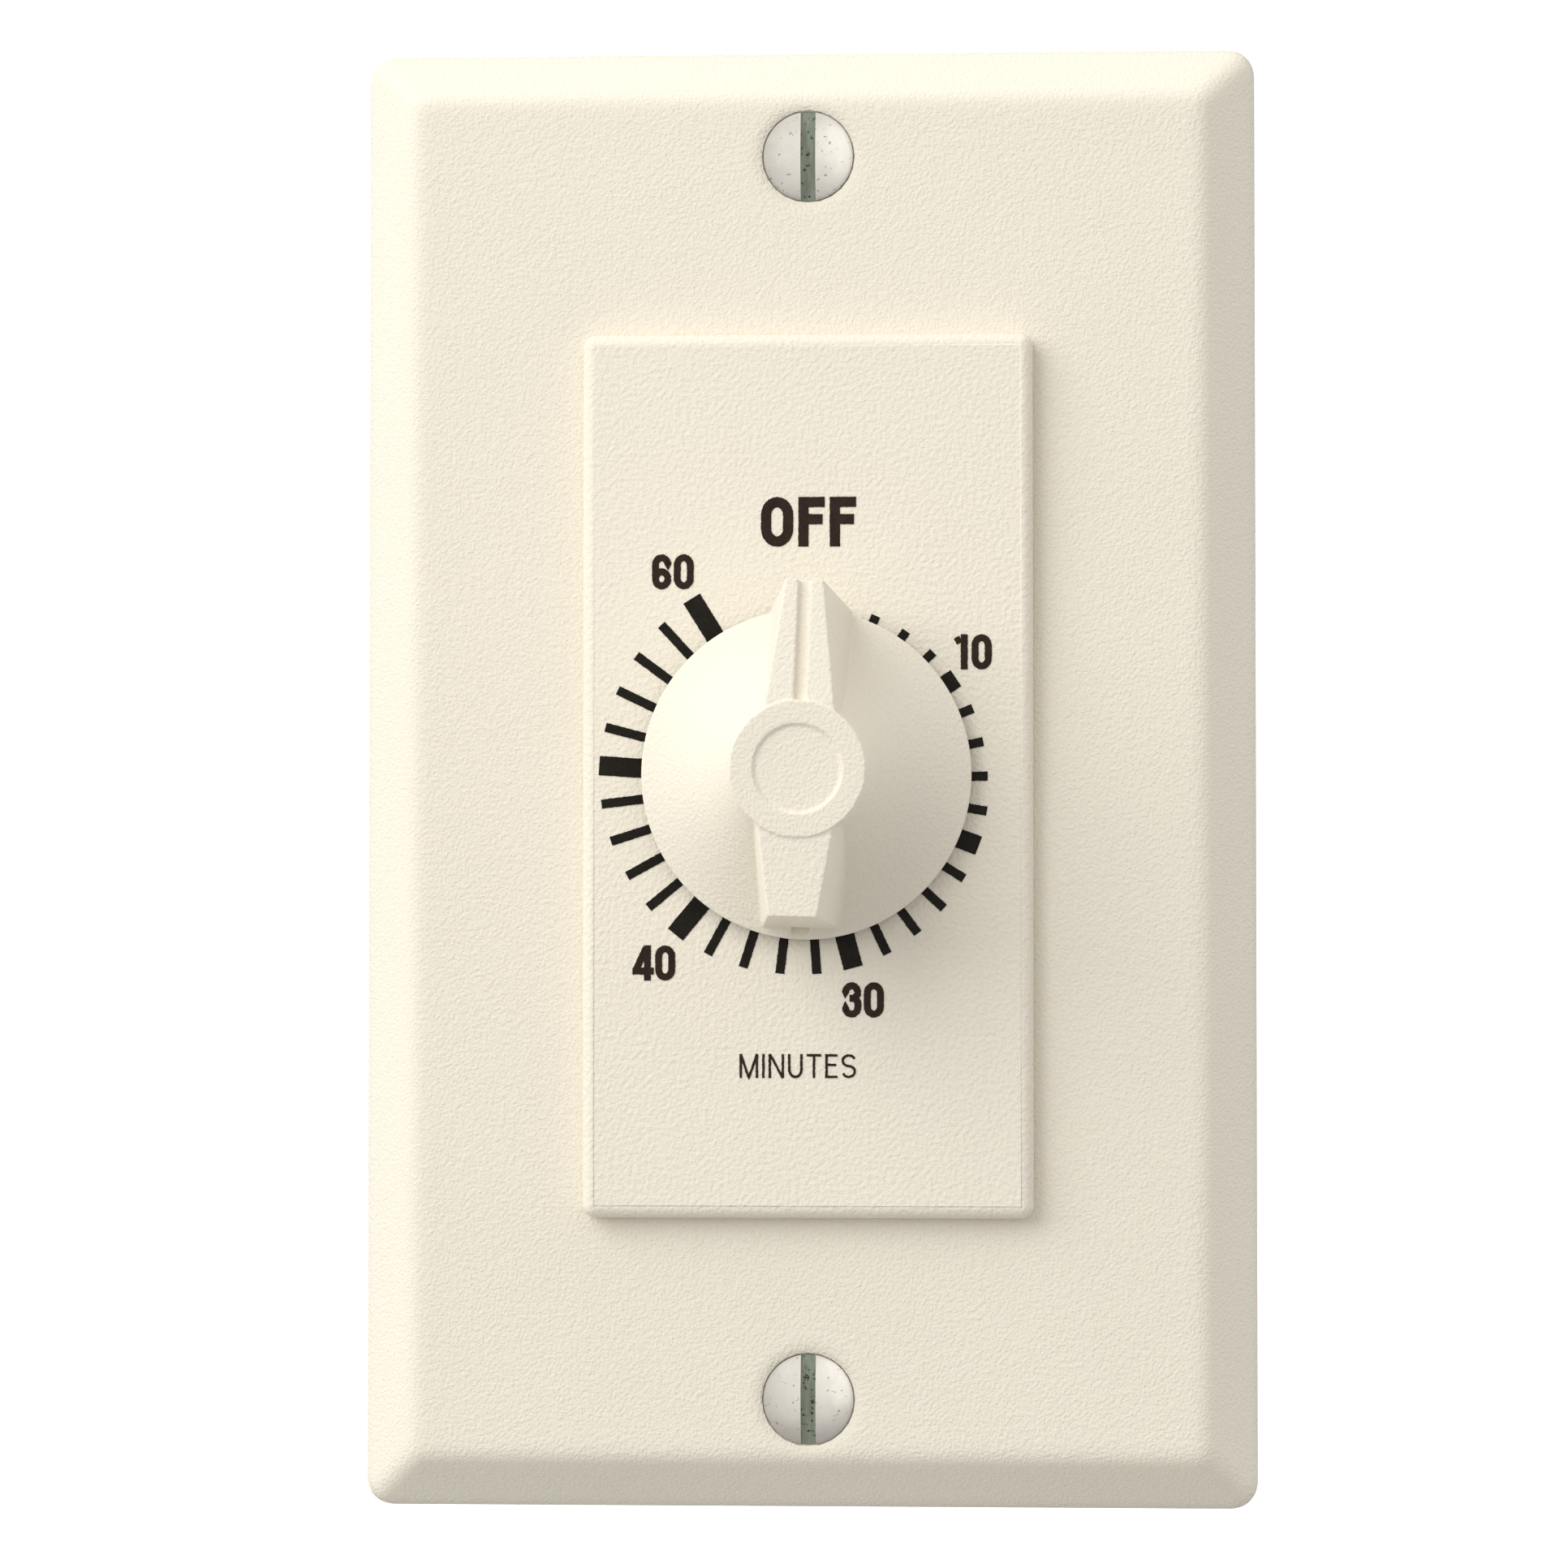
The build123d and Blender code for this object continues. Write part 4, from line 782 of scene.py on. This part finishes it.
def spaced(points, step):
    """The same line with a point at least every step, so that its edges can be uneven."""
    line = [points[0]]
    for start, end in zip(points, points[1:]):
        runs = max(1, math.ceil((end - start).length / step))
        line += [start.lerp(end, run / runs) for run in range(1, runs + 1)]
    return line


def ribbon(points, width):
    """The right and left edges of a printed stroke, a little uneven; a loop ends where it starts."""
    closed = points[0] == points[-1]
    line = spaced([Vector(point) for point in points], print_step)
    edges = ([], [])
    for at, point in enumerate(line):
        before = point
        after = point
        if at > 0:
            before = line[at - 1]
        elif closed:
            before = line[-2]
        if at + 1 < len(line):
            after = line[at + 1]
        elif closed:
            after = line[1]
        start = (point - before).normalized() if point != before else (after - point).normalized()
        end = (after - point).normalized() if point != after else start
        along = (start + end).normalized()
        across = Vector((along.y, -along.x))
        spread = width / 2 / max(miter_limit, along.dot(start))
        for edge, sign in zip(edges, (1, -1)):
            edge.append(point + across * sign * (spread + random.uniform(-print_jitter, print_jitter)))
    if closed:
        for edge in edges:
            edge[-1] = edge[0]
    return edges


def flat_piece(name, strokes):
    """Thin printed strokes on the panel's face, from their right and left edges.

    Each stroke rises a little as it goes, so that none lies level with another or itself at a crossing.
    """
    made = bmesh.new()
    for at, (right, left) in enumerate(strokes):
        start = panel_face + ink_lift + at % ink_layers * ink_layer
        rows = []
        for step, pair in enumerate(zip(right, left)):
            low = start + ink_layer * step / len(right)
            corners = [spot(*point, level) for level in (low, low + ink_thick) for point in pair]
            rows.append([made.verts.new(corner) for corner in corners])
        for row, after in zip(rows, rows[1:]):
            for first, second in ((0, 1), (1, 3), (3, 2), (2, 0)):
                made.faces.new([row[first], row[second], after[second], after[first]])
        for row in (rows[0], rows[-1]):
            made.faces.new([row[0], row[1], row[3], row[2]])
    bmesh.ops.recalc_face_normals(made, faces=made.faces)
    mesh = bpy.data.meshes.new(name)
    made.to_mesh(mesh)
    made.free()
    return link(name, mesh)


def tick_outline(minute):
    """A radial mark of the scale."""
    angle = math.radians(scale_zero + degrees_per_minute * minute)
    along = Vector((math.sin(angle), math.cos(angle)))
    width = tick_width if minute % minutes_per_major_tick else major_tick_width
    centre = Vector(scale_centre)
    return ribbon([centre + along * tick_inner, centre + along * tick_ends[minute]], width)


def curved(middle, radii, start, end):
    """Points on an ellipse's arc, between two angles in degrees."""
    points = []
    for step in range(curve_steps + 1):
        angle = math.radians(start + (end - start) * step / curve_steps)
        points.append((middle[0] + radii[0] * math.cos(angle), middle[1] + radii[1] * math.sin(angle)))
    return points


def glyph(letter, width, height, stroke):
    """The lines of one character's strokes, in a box from the origin to its width and height."""
    low = stroke / 2
    high = height - stroke / 2
    left = stroke / 2
    right = width - stroke / 2
    middle = width / 2
    half = width / 2 - stroke / 2
    bow = (half, half * bow_rise)
    over = (middle, high - bow[1])
    under = (middle, low + bow[1])
    waist = height * waist_level

    def post(at):
        return [(at, 0), (at, height)]

    def arm(start, end, level):
        return [(start, level), (end, level)]

    def loop(top):
        line = curved((middle, top - bow[1]), bow, 0, 180) + curved(under, bow, 180, 360)
        return line + line[:1]

    if letter in "O0":
        return [loop(high)]
    if letter == "1":
        return [post(right), [(0, height * one_flag_low), (right - stroke / 2, height * one_flag_high)]]
    if letter == "3":
        small = (half, half * bow_rise * three_bow_rise)
        upper = [(left, height * three_upper_end), *reversed(curved(over, bow, 0, 180))]
        upper += curved((middle, waist + small[1]), small, 0, -90)
        upper.append((middle - stroke * three_nose, waist))
        lower = curved((middle, waist - small[1]), small, 90, 0) + curved(under, bow, 0, -180)
        lower.append((left, height * three_lower_end))
        return [upper, lower]
    if letter == "4":
        bar = height * four_bar_level
        stem = width * four_stem
        tip = (stem - stroke * four_tip_in, height - stroke * four_tip_down)
        return [post(stem), arm(0, width, bar), [(stroke * four_foot_in, bar), tip]]
    if letter == "6":
        hook = [(left, under[1]), *reversed(curved(over, bow, 0, 180)), (right, height * six_hook_end)]
        return [loop(height * six_loop_level - stroke / 2), hook]
    if letter == "E":
        arms = [arm(stroke, width, high), arm(stroke, width, low), arm(stroke, width * e_arm, waist)]
        return [post(left), *arms]
    if letter == "F":
        return [post(left), arm(stroke, width, high), arm(stroke, width * f_arm, waist)]
    if letter == "I":
        return [post(middle)]
    if letter == "M":
        return [post(left), post(right), [(left, height), (middle, 0), (right, height)]]
    if letter == "N":
        return [post(left), post(right), [(left, height), (right, 0)]]
    if letter == "S":
        bend = height / 4 - stroke / 4
        upper = curved((middle, high - bend), (half, bend), *s_upper_turn)
        return [upper + curved((middle, low + bend), (half, bend), *s_lower_turn)]
    if letter == "T":
        return [post(middle), arm(0, width, high)]
    if letter == "U":
        return [[(left, height), *curved(under, bow, 180, 360), (right, height)]]
    raise ValueError("no strokes for " + letter)


def word_strokes(text, corner, height, stroke, gap):
    """All the printed strokes of a word, from its lower left corner."""
    strokes = []
    at = corner[0]
    for letter in text:
        width = letter_widths[letter] * height
        for line in glyph(letter, width, height, stroke):
            strokes.append(ribbon([(x + at, y + corner[1]) for x, y in line], stroke))
        at += width + gap
    return strokes


ticks = flat_piece("dial_ticks", [tick_outline(minute) for minute in tick_ends])
add(ticks, "frame", "ink")
for name, wording in words.items():
    add(flat_piece("dial_" + name, word_strokes(*wording)), "frame", "word_ink")


# Backdrop, light and camera

def sweep():
    """A pale floor that curves up into a backdrop."""
    bend_start = sweep_back - sweep_bend
    line = [(sweep_front, sweep_floor), (bend_start, sweep_floor)]
    for step in range(1, sweep_steps + 1):
        angle = math.radians(90) * step / sweep_steps
        y = bend_start + sweep_bend * math.sin(angle)
        line.append((y, sweep_floor + sweep_bend - sweep_bend * math.cos(angle)))
    line.append((sweep_back, sweep_top))
    points = [Vector((x, y, z)) for y, z in line for x in (-sweep_half_width, sweep_half_width)]
    faces = [[2 * at, 2 * at + 1, 2 * at + 3, 2 * at + 2] for at in range(len(line) - 1)]
    piece = smooth(shape("sweep", points, faces))
    paper = finish_of("paper", grey(0.93), 0.9, spread=0.004, cloud=3, grain=400, grain_depth=0.05)
    shader = nodes_of(paper)[1]
    shader.inputs["Emission Color"].default_value = (1, 1, 1, 1)
    shader.inputs["Emission Strength"].default_value = sweep_glow
    piece.data.materials.append(paper)
    piece.visible_diffuse = False
    piece.visible_glossy = False


def lamp(name, at, size, power, colour):
    """A soft rectangular lamp that points at the middle of the object."""
    light = bpy.data.lights.new(name, "AREA")
    light.shape = "RECTANGLE"
    light.size = size[0]
    light.size_y = size[1]
    light.energy = power
    light.color = colour
    made = link(name, light)
    made.location = at
    made.rotation_euler = (Vector((0, 0, 0)) - Vector(at)).to_track_quat("-Z", "Y").to_euler()
    return made


def ranged(tree, start, end, low, high):
    """A node that turns a value from start to end into one from low to high."""
    node = tree.nodes.new("ShaderNodeMapRange")
    node.inputs["From Min"].default_value = start
    node.inputs["From Max"].default_value = end
    node.inputs["To Min"].default_value = low
    node.inputs["To Max"].default_value = high
    return node


def studio_world():
    """Even light, brighter from above than from below, and brighter from the pale wall behind."""
    world = bpy.data.worlds.new("studio")
    world.use_nodes = True
    tree = world.node_tree
    background = next(node for node in tree.nodes if node.type == "BACKGROUND")
    background.inputs["Color"].default_value = sky_colour
    place = tree.nodes.new("ShaderNodeTexCoord")
    upwards = tree.nodes.new("ShaderNodeVectorMath")
    upwards.operation = "DOT_PRODUCT"
    upwards.inputs[1].default_value = Vector(sky_direction).normalized()
    sky = ranged(tree, -1, 1, *sky_strengths)
    parts = tree.nodes.new("ShaderNodeSeparateXYZ")
    behind = ranged(tree, behind_from, behind_to, 0, behind_strength)
    total = tree.nodes.new("ShaderNodeMath")
    link_nodes(
        tree,
        (place.outputs["Generated"], upwards.inputs[0]),
        (upwards.outputs["Value"], sky.inputs["Value"]),
        (place.outputs["Generated"], parts.inputs["Vector"]),
        (parts.outputs["Y"], behind.inputs["Value"]),
        (sky.outputs["Result"], total.inputs[0]),
        (behind.outputs["Result"], total.inputs[1]),
        (total.outputs["Value"], background.inputs["Strength"]),
    )
    bpy.context.scene.world = world


sweep()
lamp(*key_lamp).visible_glossy = False
for card in reflected_cards:
    lamp(*card).visible_diffuse = False
studio_world()
bpy.context.scene.view_settings.view_transform = "Standard"

camera_data = bpy.data.cameras.new("camera")
camera_data.sensor_width = sensor_width
camera_data.lens = sensor_width * camera_distance / view_width
camera_data.clip_start = camera_near
camera_data.clip_end = camera_far
camera = link("camera", camera_data)
camera.location = spot(camera_right, -camera_down, camera_distance)
camera.rotation_euler = (spot(*camera_aim, 0) - camera.location).to_track_quat("-Z", "Y").to_euler()
bpy.context.scene.camera = camera

bpy.context.view_layer.update()
